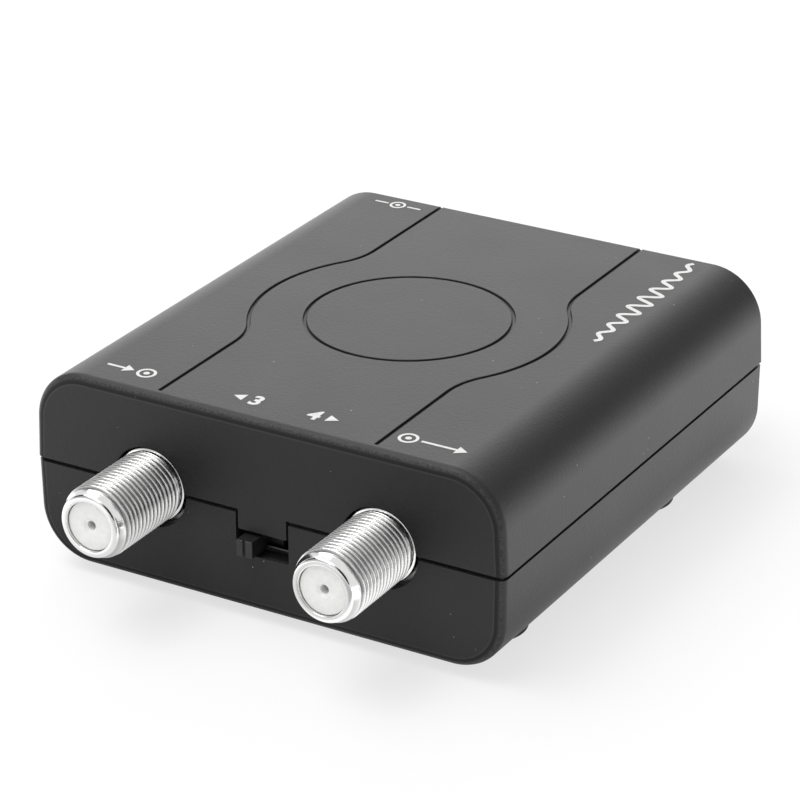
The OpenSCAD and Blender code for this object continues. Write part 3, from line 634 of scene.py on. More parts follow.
@dataclass(frozen=True)
class ThreadedMetal(TurnedMetal):
    """Turned metal with a thread round the axis of either connector, with painted shade in its roots.
    """

    root: float = 4.4
    crest: float = 4.7
    root_shade: float = 0.1
    worn: float = 0.18
    threaded: tuple[float, float, float, float] = (33.6, 34.2, 45.2, 45.5)

    def dress(self, tree: Tree, point: Sock) -> dict[str, Any]:
        """Painted shade in the thread's roots, darker by the distance from the axis, with a finely
        chattered surface.
        """
        look = super().dress(tree, point)
        x, y, z = tree.axes(point)
        across = tree.add("Math", {"operation": "ABSOLUTE"}, {0: x}) - CASE.coax_x
        up = z - CASE.coax_z
        away = tree.add("Math", {"operation": "SQRT"}, {0: across * across + up * up})
        chatter = tree.noise(point, 0.22, 3, 0.7)
        rough = away + (chatter - 0.5) * 0.25
        # painted shade: the colour darkens from the crests down into the roots
        bright = tree.ramp(rough, ((self.root, self.root_shade), (self.crest, 1.0)))
        root_shade_colour = tuple(c * 0.3 for c in self.colour) + (1,)
        unthreaded = 1 - tree.band(y * -1, self.threaded)
        look["Base Color"] = tree.mix(bright | unthreaded, root_shade_colour, look["Base Color"])
        look["Roughness"] = tree.blend(unthreaded, self.worn, self.roughness)
        look["Normal"] = tree.bump(chatter * 0.012)
        return look


@dataclass(frozen=True)
class SheetMetal(Finish):
    """Rolled or tinned sheet, with spangle or rolling lines."""

    spangle: float = 2.2
    depth: float = 0.002

    def dress(self, tree: Tree, point: Sock) -> dict[str, Any]:
        """Spangle in colour and gloss, with a light grain in the height."""
        flake = tree.add("SeparateColor", {}, {0: tree.cells(point, self.spangle, "Color")})
        grain = tree.noise(point, 0.3, 3, 0.6)
        dark = tuple(c * 0.82 for c in self.colour) + (1,)
        return {
            "Base Color": tree.mix(flake * 0.7 + grain * 0.3, dark, (*self.colour, 1)),
            "Roughness": tree.blend(flake, self.roughness * 0.75, self.roughness * 1.3),
            "Normal": tree.bump(grain * self.depth),
        }


@dataclass(frozen=True)
class PrintedInk(Finish):
    """Pad-printed ink that shows the grain below it."""

    def dress(self, tree: Tree, point: Sock) -> dict[str, Any]:
        """Thin places in the ink, and the grain of the plastic."""
        thin = tree.ramp(tree.noise(point, 0.18, 2, 0.6), ((0.3, 0), (0.5, 1)))
        faint = tuple(c * 0.78 for c in self.colour) + (1,)
        return {
            "Base Color": tree.mix(thin, faint, (*self.colour, 1)),
            "Normal": tree.bump(tree.noise(point, 0.16, 3, 0.6) * 0.004),
        }


@dataclass(frozen=True)
class Rubber(Finish):
    """Moulded rubber with a dusty bloom."""

    def dress(self, tree: Tree, point: Sock) -> dict[str, Any]:
        """Bloom in the colour and a soft grain."""
        bloom = tree.noise(point, 1.4, 4, 0.65)
        pale = tuple(c * 1.9 for c in self.colour) + (1,)
        return {
            "Base Color": tree.mix(bloom, (*self.colour, 1), pale),
            "Roughness": tree.blend(bloom, self.roughness - 0.08, self.roughness + 0.08),
            "Normal": tree.bump(tree.noise(point, 0.2, 3) * 0.01),
        }


@dataclass(frozen=True)
class CircuitBoard(Finish):
    """Green mask over copper tracks, with a glass weave below."""

    def dress(self, tree: Tree, point: Sock) -> dict[str, Any]:
        """Tracks as paler bands with rounded cells of ground plane between them."""
        edge = tree.add(
            "TexVoronoi", {"feature": "DISTANCE_TO_EDGE"},
            {"Vector": point, "Scale": 1 / 4.5, "Randomness": 0.7}
        )
        track = tree.ramp(edge, ((0.05, 0), (0.09, 1)))
        x, y, _ = tree.axes(point)
        weave = tree.add("Math", {"operation": "SINE"}, {0: x * 9.0}) * tree.add(
            "Math", {"operation": "SINE"}, {0: y * 9.0}
        )
        pale = tuple(c * 1.7 for c in self.colour) + (1,)
        return {
            "Base Color": tree.mix(track, (*self.colour, 1), pale),
            "Roughness": tree.blend(track, self.roughness, self.roughness + 0.12),
            "Normal": tree.bump(track * 0.02 + weave * 0.002),
        }


@dataclass(frozen=True)
class Banded(Finish):
    """A lacquered round body with painted bands across it."""

    middle: float = 0.0
    pitch: float = 0.9
    half_share: float = 0.27
    bands: tuple[Colour, ...] = ()

    def dress(self, tree: Tree, point: Sock) -> dict[str, Any]:
        """Bands at even steps along the body, and a soft orange peel."""
        along = tree.axes(point)[1]
        colour: Any = (*self.colour, 1)
        for i, paint in enumerate(self.bands):
            spot = self.middle + (i - (len(self.bands) - 1) / 2) * self.pitch
            half = self.pitch * self.half_share
            near = tree.add("Math", {"operation": "COMPARE"}, {0: along, 1: spot, 2: half})
            colour = tree.mix(near, colour, (*paint, 1))
        return {"Base Color": colour, "Normal": tree.bump(tree.noise(point, 0.8, 1) * 0.03)}


@dataclass(frozen=True)
class Sleeved(Finish):
    """Shrink sleeve on an upright can: a pale stripe down one side and a bare scored top."""

    stripe: Colour = (0.6, 0.6, 0.62)
    bare: Colour = (0.6, 0.6, 0.6)
    top: float = 18.3
    pitch: float = 9.0
    stripe_x: float = 7.3
    stripe_half: float = 0.8

    def dress(self, tree: Tree, point: Sock) -> dict[str, Any]:
        """The stripe faces the front, and the top is bare aluminium."""
        x, _, z = tree.axes(point)
        striped = tree.add("Math", {"operation": "COMPARE"}, {
            0: x % self.pitch, 1: self.stripe_x, 2: self.stripe_half
        })
        bare = z > self.top
        colour = tree.mix(striped, (*self.colour, 1), (*self.stripe, 1))
        return {
            "Base Color": tree.mix(bare, colour, (*self.bare, 1)),
            "Metallic": bare,
            "Normal": tree.bump(tree.noise(point, 0.5, 2) * 0.01),
        }


CASE_PLASTIC = CasePlastic(
    "case plastic", (0.0165, 0.0165, 0.017), 0.5, specular=0.3, depth=0.04, dust=0.8
)
KNOB_PLASTIC = MouldedPlastic("knob plastic", (0.012, 0.012, 0.012), 0.42, depth=0.003)
SOCKET_PLASTIC = MouldedPlastic("socket plastic", (0.018, 0.018, 0.018), 0.42, depth=0.004)
WHITE_PLASTIC = MouldedPlastic("white insulator", (0.86, 0.86, 0.84), 0.42, grain=0.3, depth=0.004)
YELLOW_PLASTIC = MouldedPlastic("yellow insulator", (0.78, 0.55, 0.04), 0.35, grain=0.3, depth=0.004)
RED_PLASTIC = MouldedPlastic("red insulator", (0.55, 0.03, 0.025), 0.35, grain=0.3, depth=0.004)
CHIP_PLASTIC = MouldedPlastic("chip package", (0.03, 0.03, 0.031), 0.55, grain=0.1, depth=0.006)
NICKEL = TurnedMetal("nickel plate", (0.8, 0.8, 0.79), 0.13, 1.0)
THREAD_NICKEL = ThreadedMetal("nickel plated thread", (0.82, 0.82, 0.815), 0.1, 1.0)
CONTACT_METAL = TurnedMetal("contact metal", (0.62, 0.55, 0.4), 0.3, 1.0)
SCREW_STEEL = SheetMetal("screw steel", (0.5, 0.5, 0.51), 0.34, 1.0, spangle=0.5)
TINPLATE = SheetMetal("tinned sheet", (0.55, 0.55, 0.54), 0.36, 1.0)
# the switch frame's sheet coloured near black: painted shade inside the opening
SHADED_SHEET = SheetMetal("sheet in painted shade", (0.02, 0.02, 0.02), 0.45, 0.5, spangle=0.8)
# a paler copy of that sheet for the slot's lip: a painted lit band
LIT_SHEET_EDGE = SheetMetal("sheet edge painted lit", (0.16, 0.16, 0.155), 0.5, 1.0, spangle=0.6)
BASE_SHEET = SheetMetal("brown base sheet", (0.2, 0.1, 0.045), 0.6, spangle=1.2)
INK = PrintedInk("white print", (0.6, 0.6, 0.59), 0.5)
FOOT_RUBBER = Rubber("foot rubber", (0.018, 0.018, 0.018), 0.75)
BOARD = CircuitBoard("circuit board", (0.02, 0.11, 0.04), 0.4, coat=0.3)
CHOKE = Banded(
    "choke lacquer", (0.14, 0.3, 0.16), 0.35, middle=-19.55, pitch=1.1,
    bands=((0.25, 0.1, 0.03), (0.02, 0.02, 0.02), (0.3, 0.02, 0.01), (0.6, 0.45, 0.1))
)
RESISTOR = Banded(
    "resistor lacquer", (0.62, 0.45, 0.26), 0.4, middle=14.95, pitch=0.85,
    bands=((0.2, 0.08, 0.02), (0.02, 0.02, 0.02), (0.5, 0.04, 0.02), (0.6, 0.42, 0.1))
)
DIODE = Banded("diode body", (0.02, 0.02, 0.021), 0.4, middle=16.6, pitch=2.0, bands=((0.6, 0.6, 0.6),))
CERAMIC = MouldedPlastic("dipped ceramic", (0.5, 0.24, 0.06), 0.4, grain=0.6, depth=0.02)
SLEEVE = Sleeved("capacitor sleeve", (0.02, 0.025, 0.09), 0.35)


# Sub-assemblies

@dataclass(frozen=True)
class CaseSizes:
    """The sizes in millimetres that the case shares with what it holds."""

    width: float = 67.4
    depth: float = 71.6
    height: float = 26.2
    seam: float = 13.1
    wall: float = 2.0
    front: float = -33.85
    base: float = 1.4
    board: float = 7.5
    top_radius: float = 7.3
    bottom_radius: float = 7.1
    front_edge: float = 1.15
    back_edge: float = 0.7
    rim_width: float = 0.26
    rim_drop: float = 0.05
    upper_draft: float = 2.6
    lower_draft: float = 0.9
    overhang: float = 0.15
    coax_x: float = 16.5
    coax_z: float = 14.9
    coax_upper_hole: float = 5.15
    coax_lower_hole: float = 5.5
    phono_x: tuple[float, ...] = (22.0, 8.0, -6.0)
    phono_z: float = 14.9
    phono_hole: float = 5.0
    power_x: float = -21.0
    power_z: float = 14.4
    power_hole: float = 4.7
    knob_z: float = 10.7

    @property
    def back(self) -> float:
        """The back face."""
        return self.front + self.depth

    @property
    def inner_front(self) -> float:
        """The front wall's inner face."""
        return self.front + self.wall

    @property
    def inner_back(self) -> float:
        """The back wall's inner face."""
        return self.back - self.wall

    @property
    def middle(self) -> float:
        """Half way between the front and the back."""
        return self.front + self.depth / 2

    @property
    def seam_z(self) -> float:
        """The height of the seam."""
        return self.base + self.seam

    @property
    def top(self) -> float:
        """The height of the top."""
        return self.base + self.height

    @property
    def inner_half(self) -> float:
        """Half the width inside the lower walls."""
        return self.width / 2 - self.overhang - self.wall


CASE = CaseSizes()


@dataclass(frozen=True)
class Half:
    """One moulded half of the case, as rings of points from front to back."""

    half_width: float
    rise: float
    radius: float
    draft: float
    upright: bool
    steps: int = 26
    edge_steps: int = 6

    def outline(self, inset: float) -> list[Point2]:
        """The half's section, drawn in all round, as places and distances from the seam."""
        lean = math.radians(self.draft)
        half = self.half_width - inset / math.cos(lean)
        rise = self.rise - inset
        radius = max(self.radius - inset, 0.05)
        centre_z = rise - radius
        centre_x = half - centre_z * math.tan(lean) - radius / math.cos(lean)
        side = [(half, 0.0)] + arc(centre_x, centre_z, radius, self.draft, 90, self.steps)
        return side + [(-x, z) for x, z in reversed(side)]

    def ring(self, y: float, inset: float, below: float = 0) -> list[Point3]:
        """The section at a depth, reaching past the seam by below."""
        way = 1 if self.upright else -1
        flat = self.outline(inset)
        points = [(x, y, CASE.seam_z + way * z) for x, z in flat]
        if below:
            points[0] = (flat[0][0], y, CASE.seam_z - way * below)
            points[-1] = (flat[-1][0], y, CASE.seam_z - way * below)
        return points

    def outer(self) -> Solid:
        """The half as a full block with rounded front and back edges."""
        turn = [math.radians(90 * i / self.edge_steps) for i in range(self.edge_steps + 1)]
        edge = [(1 - math.sin(a), 1 - math.cos(a)) for a in turn]
        near, far, rim = CASE.front_edge, CASE.back_edge, CASE.rim_drop
        stations = [(CASE.front, near + CASE.rim_width)]
        for step, inset in reversed(edge):
            stations.append((CASE.front + rim + (near - rim) * step, near * inset))
        for step, inset in edge:
            stations.append((CASE.back - rim - (far - rim) * step, far * inset))
        stations.append((CASE.back, far + CASE.rim_width))
        return Solid.loft([self.ring(y, inset) for y, inset in stations])

    def cavity(self) -> Solid:
        """What is hollow inside it."""
        return Solid.loft([self.ring(y, CASE.wall, 1.0) for y in (CASE.inner_front, CASE.inner_back)])


def hole(radius: float, place: Place, lip: float, deep: float) -> Solid:
    """A cutter for a round hole whose mouth is rounded.

    Args:
        radius: The hole's radius.
        place: The middle of its mouth, with the way out as its heading.
        lip: The radius of the rounded mouth.
        deep: How far it goes in.

    Returns:
        The cutter.
    """
    lips = [(radius + lip - lip * math.sin(a), -lip * (1 - math.cos(a))) for a in (0, 0.4, 0.8, 1.2)]
    return Solid.lathe(
        [(0, 1), (radius + lip, 1), *lips, (radius, -lip), (radius, -deep), (0, -deep)], place, steps=96
    )


def window(x0: float, x1: float, z0: float, z1: float, lip: float, deep: float) -> Solid:
    """A cutter for an opening in the front wall with rounded corners and a rounded mouth.

    Args:
        x0: Its left side.
        x1: Its right side.
        z0: Its lower edge.
        z1: Its upper edge.
        lip: The radius of the rounded mouth.
        deep: How far it goes in.

    Returns:
        The cutter.
    """
    r = 0.25

    def ring(y: float, grow: float) -> list[Point3]:
        """The opening at a depth, grown all round."""
        corners = [
            (x1 - r, z1 - r, 0), (x0 + r, z1 - r, 90), (x0 + r, z0 + r, 180), (x1 - r, z0 + r, 270)
        ]
        return [
            (u, y, v) for cx, cz, a in corners for u, v in arc(cx, cz, r + grow, a, a + 90, 4)
        ]

    mouth = CASE.front
    return Solid.loft([
        ring(mouth - 1, lip), ring(mouth, lip), ring(mouth + lip * 0.3, lip * 0.3),
        ring(mouth + lip, 0), ring(mouth + deep, 0)
    ])


@dataclass
class CaseShells:
    """The two moulded halves of the case, with grooves, openings, posts and their screws."""

    post_x: float = 26.5
    post_radius: float = 2.8
    post_foot: float = 3.7
    post_front: float = 5.8
    post_back: float = 27.0
    boss_front: float = 24.0
    boss_back: float = 19.3
    groove_width: float = 0.5
    groove_depth: float = 0.4
    circle: float = 13.4
    strip_half: float = 15.4
    bulge: float = 20.6
    bulge_blend: float = 10.0
    notch_half: float = 3.75
    notch_low: float = 9.1
    notch_high: float = 12.3
    tab_half: float = 3.5
    groove_start: float = 1.5
    shadow_height: float = 0.5
    shadow_depth: float = 0.6
    foot_x: float = 24.0
    foot_front: float = 13.7
    foot_back: float = 17.7
    foot_recess: float = 5.1
    foot_deep: float = 0.5
    boss_radius: float = 2.3
    boss_top: float = 5.9
    case_pilot: float = 1.32
    board_pilot: float = 1.02
    shank_hole: float = 1.45
    head_recess: float = 2.5
    head_deep: float = 2.4
    through: float = 3.0
    label_half: Point2 = (15.5, 8.5)
    label_corner: float = 1.5
    label_deep: float = 0.3

    def posts(self) -> list[Point2]:
        """The places of the screw posts."""
        rows = (CASE.front + self.post_front, CASE.back - self.post_back)
        return [(side * self.post_x, y) for y in rows for side in (-1, 1)]

    def feet(self) -> list[Point2]:
        """The places of the feet."""
        rows = (CASE.front + self.foot_front, CASE.back - self.foot_back)
        return [(side * self.foot_x, y) for y in rows for side in (-1, 1)]

    def bosses(self) -> list[Point2]:
        """The places of the board's screw bosses."""
        rows = (CASE.front + self.boss_front, CASE.back - self.boss_back)
        return [(side * self.post_x, y) for y in rows for side in (-1, 1)]

    def openings(self, coax_hole: float) -> list[Solid]:
        """Cutters for the round openings in the front and back walls.

        Args:
            coax_hole: The radius of those round the coax connectors.

        Returns:
            The cutters.
        """
        lip = 0.12
        mouths = [
            (coax_hole, Place(side * CASE.coax_x, CASE.front, CASE.coax_z, Heading.FRONT))
            for side in (-1, 1)
        ]
        mouths += [
            (CASE.phono_hole, Place(x, CASE.back, CASE.phono_z, Heading.BACK)) for x in CASE.phono_x
        ]
        mouths.append(
            (CASE.power_hole, Place(CASE.power_x, CASE.back, CASE.power_z, Heading.BACK))
        )
        return [hole(radius, place, lip, self.through) for radius, place in mouths]

    def groove_section(self) -> list[Point2]:
        """Across a groove: offset from its middle, and height from the top's face."""
        half = self.groove_width / 2
        lip, corner = 0.07, 0.12
        side = [(half + lip, 0.3), (half + lip, 0.0), (half + lip * 0.35, -lip * 0.35), (half, -lip)]
        side += arc(half - corner, -self.groove_depth + corner, corner, 0, -90, 3)
        return side + [(-u, v) for u, v in reversed(side)]

    def groove(self, path: Sequence[Point2], looped: bool = False) -> Solid:
        """A cutter for a groove along a path on the top.

        Args:
            path: Points on the groove's middle.
            looped: Whether the path is a ring.

        Returns:
            The cutter.
        """
        section = self.groove_section()
        rings = []
        for i, (x, y) in enumerate(path):
            before = path[i - 1] if i or looped else path[i]
            after = path[(i + 1) % len(path)] if i + 1 < len(path) or looped else path[i]
            way = Vector((after[0] - before[0], after[1] - before[1])).normalized()
            rings.append([(x + way.y * u, y - way.x * u, CASE.top + v) for u, v in section])
        return Solid.loft(rings, looped)

    def strip_path(self, side: int) -> list[Point2]:
        """The middle of a long groove, from the front to past the back edge."""
        blend_x = self.strip_half + self.bulge_blend
        blend_y = math.sqrt((self.bulge + self.bulge_blend) ** 2 - blend_x ** 2)
        lean = math.degrees(math.atan2(blend_y, blend_x))
        far = arc(0, 0, self.bulge, 0, lean, 24)
        far += arc(blend_x, blend_y, self.bulge_blend, 180 + lean, 180, 12)[1:]
        half = [(x, CASE.middle + y) for x, y in far]
        near = [(x, CASE.middle - y) for x, y in far[1:]]
        path = [(self.strip_half, CASE.front + self.groove_start)] + near[::-1] + half
        path.append((self.strip_half, CASE.back + 1))
        return [(side * x, y) for x, y in path]

    def seam_gap(self) -> Solid:
        """A cutter for the dark gap along the upper half's lower edge, with a rounded lip."""
        lip = 0.15
        section = [(-1.0, -0.5), (-1.0, self.shadow_height + lip), (0.0, self.shadow_height + lip)]
        section += [(0.03, self.shadow_height + 0.06), (0.06, self.shadow_height + 0.02)]
        section += [(lip, self.shadow_height), (self.shadow_depth, self.shadow_height)]
        section += [(self.shadow_depth, -0.5)]
        corners = [(1, 1), (-1, 1), (-1, -1), (1, -1)]
        rings = []
        for sx, sy in corners:
            rings.append([
                (
                    sx * (CASE.width / 2 - d),
                    CASE.middle + sy * (CASE.depth / 2 - d),
                    CASE.seam_z + h,
                )
                for d, h in section
            ])
        return Solid.loft(rings, looped=True)

    def rim(self, near: float, far: float, low: float, high: float) -> Solid:
        """A square ring in the walls.

        Args:
            near: Its inner face's distance from the walls' inner faces.
            far: Its outer face's distance from them.
            low: Its lower face.
            high: Its upper face.

        Returns:
            The ring.
        """
        half, deep = CASE.inner_half, CASE.depth / 2 - CASE.wall
        section = [(near, low), (far, low), (far, high), (near, high)]
        rings = [
            [(sx * (half + d), CASE.middle + sy * (deep + d), z) for d, z in section]
            for sx, sy in ((1, 1), (-1, 1), (-1, -1), (1, -1))
        ]
        return Solid.loft(rings, looped=True)

    def upper(self) -> None:
        """Builds the upper half."""
        half = Half(CASE.width / 2, CASE.height - CASE.seam, CASE.top_radius, CASE.upper_draft, True)
        carve = half.cavity()
        carve.join([
            Solid.lathe(
                [(0, 0), (self.post_radius, 0), (self.post_radius, 20), (0, 20)],
                Place(x, y, CASE.seam_z, Heading.UP)
            )
            for x, y in self.posts()
        ])
        body = half.outer()
        rebate = self.rim(-0.4, 1.02, CASE.seam_z - 1, CASE.seam_z + 1.12)
        body.join([carve, rebate, self.seam_gap()])
        body.join(self.openings(CASE.coax_upper_hole))
        tab = Solid.loft([
            [(x, CASE.front + step, z) for x, z in self.tab_outline(grow)]
            for step, grow in ((0, -0.15), (0.05, -0.05), (0.15, 0), (CASE.wall, 0))
        ])
        body.join([tab], Joining.FUSE)
        body.join([
            Solid.lathe(
                [(0, -1), (self.case_pilot, -1), (self.case_pilot, 7), (0, 7)],
                Place(x, y, CASE.seam_z, Heading.UP), steps=32
            )
            for x, y in self.posts()
        ])
        circle = arc(0, CASE.middle, self.circle, 0, 360, 144)[:-1]
        body.join([self.groove(circle, True), self.groove(self.strip_path(1))])
        body.join([self.groove(self.strip_path(-1)[::-1])])
        body.piece("upper_case_shell", CASE_PLASTIC, ["upper_case"], "case_plastic")

    def tab_outline(self, grow: float) -> list[Point2]:
        """The tab over the switch, from the wall above the seam down, grown at its free sides."""
        half = self.tab_half + grow
        low = self.notch_high - grow
        high = CASE.seam_z + 1.4
        r = 0.2
        return [(half, high), (-half, high)] + arc(-half + r, low + r, r, 180, 270, 4) + arc(
            half - r, low + r, r, 270, 360, 4
        )

    def lower(self) -> None:
        """Builds the lower half."""
        half = Half(
            CASE.width / 2 - CASE.overhang, CASE.seam, CASE.bottom_radius, CASE.lower_draft, False
        )
        carve = half.cavity()
        towers = []
        for x, y in self.posts():
            towers.append(Solid.lathe(
                [(0, -1), (self.post_foot, -1), (self.post_foot, 4), (self.post_radius, 4.3),
                 (self.post_radius, CASE.seam), (0, CASE.seam)],
                Place(x, y, CASE.base, Heading.UP)
            ))
        boss = [(0, 0), (self.boss_radius, 0), (self.boss_radius, self.boss_top), (0, self.boss_top)]
        towers += [Solid.lathe(boss, Place(x, y, 0, Heading.UP)) for x, y in self.bosses()]
        carve.join(towers)
        body = half.outer()
        body.join([carve])
        body.join([self.rim(0.2, 0.9, CASE.seam_z - 0.5, CASE.seam_z + 1.0)], Joining.FUSE)
        body.join(self.openings(CASE.coax_lower_hole))
        body.join([window(
            -self.notch_half, self.notch_half, self.notch_low, CASE.seam_z + 4, 0.12, self.through
        )])
        bore = [(0, -1), (self.shank_hole, -1), (self.shank_hole, 14), (0, 14)]
        for x, y in self.posts():
            body.join([
                hole(self.head_recess, Place(x, y, CASE.base, Heading.DOWN), 0.2, self.head_deep),
                Solid.lathe(bore, Place(x, y, CASE.base, Heading.UP), steps=32),
            ])
        for x, y in self.feet():
            recess = hole(self.foot_recess, Place(x, y, CASE.base, Heading.DOWN), 0.15, self.foot_deep)
            body.join([recess])
        bore = [(0, 2.48), (self.board_pilot, 2.48), (self.board_pilot, 7), (0, 7)]
        for x, y in self.bosses():
            body.join([Solid.lathe(bore, Place(x, y, 0, Heading.UP), steps=32)])
        u, v = self.label_half
        field = [
            p for cx, cy, a in ((u, v, 0), (-u, v, 90), (-u, -v, 180), (u, -v, 270))
            for p in arc(cx, cy + CASE.middle, self.label_corner, a, a + 90, 6)
        ]
        body.join([Solid.prism(field, CASE.base - 1, CASE.base + self.label_deep)])
        body.piece("lower_case_shell", CASE_PLASTIC, ["lower_case"], "case_plastic")

    def screws(self) -> None:
        """Builds the case screws, seen from below in their recesses."""
        made = []
        for x, y in self.posts():
            place = Place(x, y, CASE.base + self.head_deep, Heading.DOWN)
            head = [(0, -18.5), (0.6, -18.5), (1.3, -17.0), (1.3, 0), (2.2, 0), (2.2, 0.9)]
            head += arc(1.5, 0.9, 0.7, 0, 90, 5)[1:]
            screw = Solid.lathe(head + [(0, 1.6)], place, steps=48)
            low, high = place.z - 2.2, place.z - 0.75
            for across, along in ((1.3, 0.32), (0.32, 1.3)):
                screw.join([Solid.block(
                    (x - across, y - along, low), (x + across, y + along, high), 0.05, 1
                )])
            made.append(screw)
        made[0].with_(made[1:]).piece("case_screw_set", SCREW_STEEL, ["case_screws"], "screw_steel")

    def rubber_feet(self) -> None:
        """Builds the feet, with a rounded lower edge and a shallow dish."""
        profile = [(0, 0.12), (2.9, 0.1), (3.6, 0.0)] + arc(4.7, 0.3, 0.3, -90, 0, 6)
        profile += [(5.0, 1.9), (0, 1.9)]
        made = [Solid.lathe(profile, Place(x, y, 0, Heading.UP)) for x, y in self.feet()]
        made[0].with_(made[1:]).piece("rubber_foot_set", FOOT_RUBBER, ["rubber_feet"], "rubber")

    def build(self) -> None:
        """Builds all of the case."""
        self.upper()
        self.lower()
        self.screws()
        self.rubber_feet()


@dataclass
class CoaxConnector:
    """A threaded connector: barrel with a true helix, white insulator and centre contact."""

    name: str
    x: float
    start: float = -31.55
    length: float = 15.2
    crest: float = 4.7625
    root: float = 4.3125
    pitch: float = 0.79375
    shoulder: float = 5.0
    shoulder_end: float = 1.9
    nose: float = 1.2
    nose_step: float = 0.25
    nose_drop: float = 0.31
    nose_round: float = 0.5
    bore: float = 3.25
    recess: float = 0.35
    rivet: float = 4.6
    rivet_end: float = -1.1
    neck: float = 3.95
    can_wall: float = 0.5
    first_turn: float = 0.05
    fade_in: float = 0.4
    fade_out: float = 0.5
    flank: float = 2.9
    valley: float = 0.25
    wire_hole: float = 0.6
    contact_radius: float = 1.1
    contact_back: float = 3.0
    pocket: float = 1.12
    tail_radius: float = 0.4
    around: int = 96
    per_turn: int = 14

    @property
    def place(self) -> Place:
        """The connector's axis, from the shielding can's front face outwards."""
        return Place(self.x, self.start, CASE.coax_z, Heading.FRONT)

    def thread(self, along: float, angle: float) -> float:
        """The radius of the thread at a distance along the axis and an angle round it."""
        first = self.shoulder_end + self.first_turn
        last = self.length - self.nose + 0.1
        fade = min(1, max(0, (along - first) / self.fade_in))
        fade *= min(1, max(0, (last - along) / self.fade_out))
        turn = (along / self.pitch - angle / math.tau) % 1
        tooth = min(1, max(0, (0.5 - abs(turn - 0.5)) * self.flank - self.valley))
        soft = tooth * tooth * (3 - 2 * tooth)
        return self.root + (self.crest - self.root) * (0.5 * tooth + 0.5 * soft) * fade

    def barrel(self) -> None:
        """Builds the barrel as one closed skin of rings."""
        place = self.place
        turn = [math.tau * i / self.around for i in range(self.around)]
        first = self.shoulder_end + self.first_turn
        last = self.length - self.nose
        count = round((last - first) / self.pitch * self.per_turn)
        cone = self.crest - self.nose_step
        tip = cone - self.nose_drop - self.nose_round
        nose = [(self.root + 0.08, last + 0.02), (cone, last + 0.05)] + [
            (tip + self.nose_round * math.cos(a), self.length - self.nose_round * (1 - math.sin(a)))
            for a in (math.radians(10 * i) for i in range(10))
        ]
        rim = [(self.bore + 0.11, self.length), (self.bore + 0.04, self.length - 0.03)]
        before = [
            (self.bore, self.rivet_end), (self.rivet, self.rivet_end), (self.rivet, -self.can_wall),
            (self.neck, -self.can_wall), (self.neck, 0.0), (self.shoulder - 0.1, 0.0),
            (self.shoulder, 0.1), (self.shoulder, self.shoulder_end - 0.15),
            (self.shoulder - 0.15, self.shoulder_end), (self.root, self.shoulder_end),
        ]
        rings = [[place.at(r, a, s) for a in turn] for r, s in before]
        for i in range(count + 1):
            s = first + (last - first) * i / count
            rings.append([place.at(self.thread(s, a), a, s) for a in turn])
        after = nose + rim + [(self.bore, self.length - 0.1)]
        rings += [[place.at(r, a, s) for a in turn] for r, s in after]
        Solid.loft(rings, looped=True).piece(
            self.name + "_threaded_barrel", THREAD_NICKEL, [self.name + "_barrel"], "nickel", crease=60
        )

    def insulator(self) -> None:
        """Builds the white insulator with a dished face and its hole."""
        front = self.length - self.recess
        profile = [
            (self.pocket, self.rivet_end), (self.bore - 0.02, self.rivet_end),
            (self.bore - 0.02, front - 0.15), (self.bore - 0.08, front - 0.03),
            (self.bore - 0.2, front), (1.2, front), (0.95, front - 0.05), (0.78, front - 0.22),
            (self.wire_hole, front - 0.3), (self.wire_hole, front - self.contact_back),
            (self.pocket, front - self.contact_back),
        ]
        Solid.lathe(profile, self.place, looped=True).piece(
            self.name + "_white_insulator", WHITE_PLASTIC, [self.name + "_insulator"], "white_plastic"
        )

    def contact(self) -> None:
        """Builds the split centre contact with its solder tail."""
        front = self.length - self.recess - self.contact_back
        outer, inner, thin = self.contact_radius, self.wire_hole, self.tail_radius
        place = self.place
        body = Solid.lathe(
            [(0, -1.7), (outer, -1.7), (outer, front), (0.85, front), (inner, front - 0.3),
             (inner, front - 5), (0, front - 5)],
            place, steps=48
        )
        near = place.y - front
        body.join([Solid.block(
            (place.x - 2, near - 1, place.z - 0.12), (place.x + 2, near + 4, place.z + 0.12)
        )])
        tail = Solid.lathe([(0, -4.1), (thin, -4.1), (thin, -1.2), (0, -1.2)], place, steps=24)
        foot = Place(place.x, place.y + 3.7, CASE.board, Heading.UP)
        drop = Solid.lathe([(0, 0), (thin, 0), (thin, 7.4), (0, 7.4)], foot, steps=24)
        body.join([tail, drop], Joining.FUSE)
        body.piece(
            self.name + "_centre_contact", CONTACT_METAL, [self.name + "_contact"], "contact_metal"
        )

    def build(self) -> None:
        """Builds the connector."""
        self.barrel()
        self.insulator()
        self.contact()


